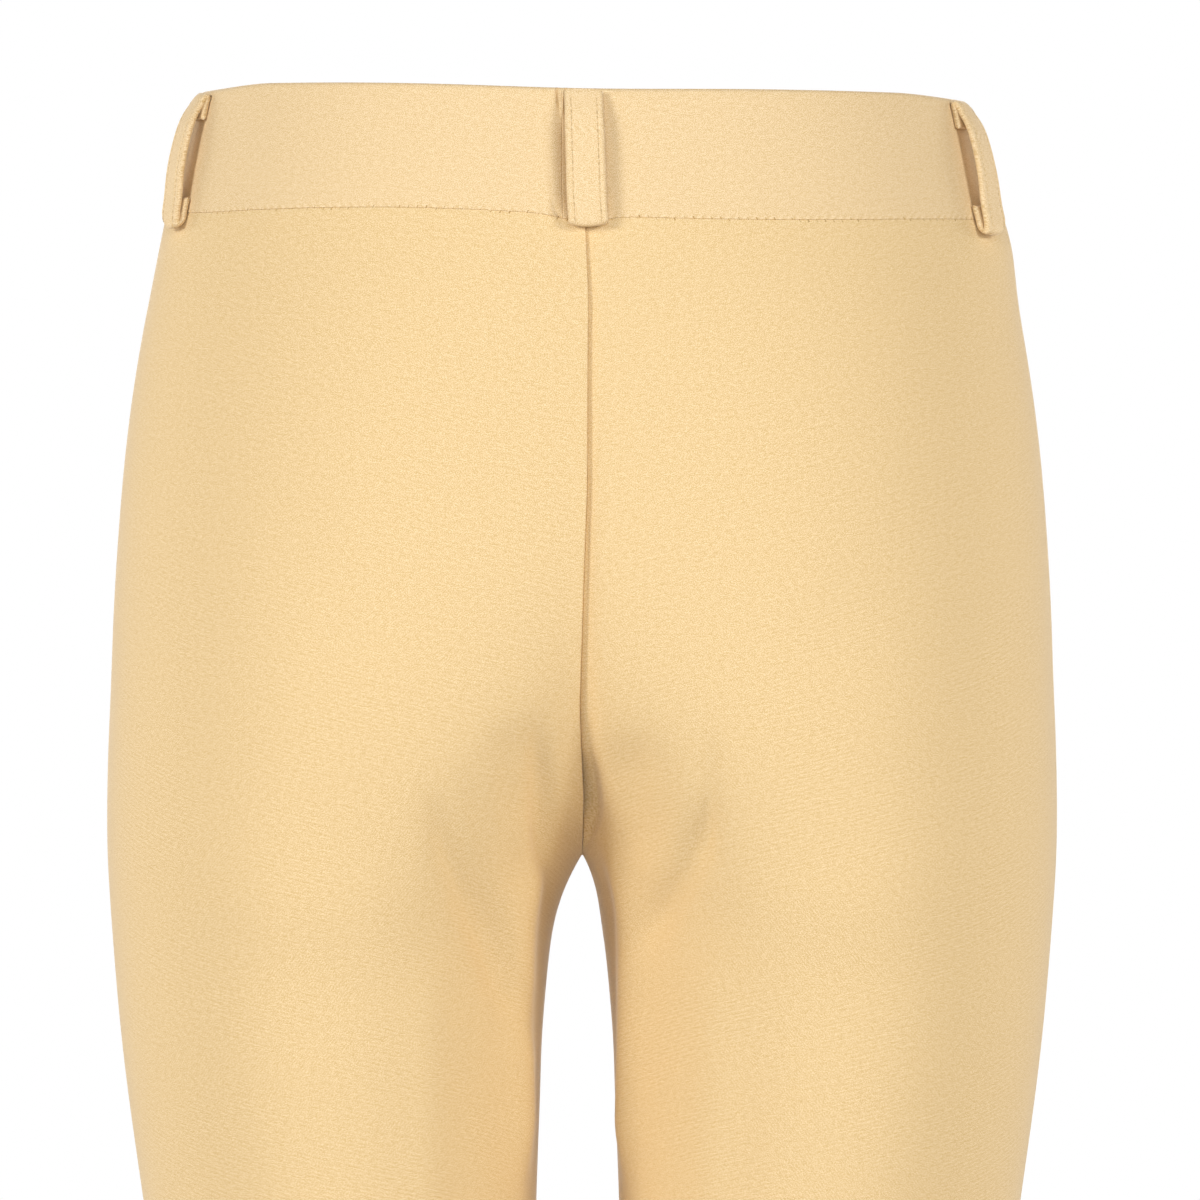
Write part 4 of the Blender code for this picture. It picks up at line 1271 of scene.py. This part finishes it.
AMBIENT = 0.07
world = bpy.data.worlds.new("studio")
bpy.context.scene.world = world
world.use_nodes = True
tree = world.node_tree
tree.nodes.clear()
seen = node(tree, "Background", Color=(1, 1, 1, 1), Strength=1.0)
lit = node(tree, "Background", Color=colour("#FFDCA8"), Strength=AMBIENT)
who = node(tree, "LightPath")
mixed = node(tree, "MixShader", _0=who.outputs["Is Camera Ray"], _1=lit, _2=seen)
node(tree, "OutputWorld", Surface=mixed)

# %% Lights
AIM = np.array([0, 0, -0.14])


def add_light(name, azimuth, elevation, distance, size, share, code):
    a, e = np.radians([azimuth, elevation])
    away = np.array([np.sin(a) * np.cos(e), -np.cos(a) * np.cos(e), np.sin(e)])
    lamp = bpy.data.lights.new(name, "AREA")
    lamp.shape, lamp.size = "SQUARE", size
    lamp.energy = share * np.pi**2 * distance**2
    lamp.color = colour(code)[:3]
    shape = add_object(name, lamp)
    shape.location = AIM + away * distance
    shape.rotation_mode = "QUATERNION"
    shape.rotation_quaternion = Vector(away).to_track_quat("Z", "Y")
    shape.visible_camera = False
    print(f"{name}: {lamp.energy:.0f} W")


KEY_WHITE, SIDE_WHITE = "#FFFFFF", "#F5F8FF"      # the sides are cooler than the light that fills the shadows
add_light("back_key", 180, 14, 3.6, 1.7, 0.36, KEY_WHITE)
for hand, place, key, side in ((1, "left", 0.56, 0.46), (-1, "right", 0.472, 0.44)):
    add_light(f"{place}_key", hand * 131, 20, 3.6, 1.1, key, KEY_WHITE)
    add_light(f"{place}_side", hand * 55, 8, 3.4, 1.6, side, SIDE_WHITE)
add_light("front_fill", 0, 18, 4.2, 2.0, 0.36, KEY_WHITE)

# %% Camera
CAMERA_AWAY = 3.2
camera = bpy.data.cameras.new("camera")
camera.sensor_width, camera.lens = 36, 320
camera_shape = add_object("camera", camera)
VIEW_CENTRE = np.array([-5.4 * MM, 0, -135 * MM])
ROLL, PITCH = np.radians([0.05, 1.0])
camera_shape.location = VIEW_CENTRE + CAMERA_AWAY * np.array([0, np.cos(PITCH), np.sin(PITCH)])
camera_shape.rotation_euler = (np.pi / 2 - PITCH, ROLL, np.pi)
bpy.context.scene.camera = camera_shape
bpy.context.scene.view_settings.view_transform = "Standard"
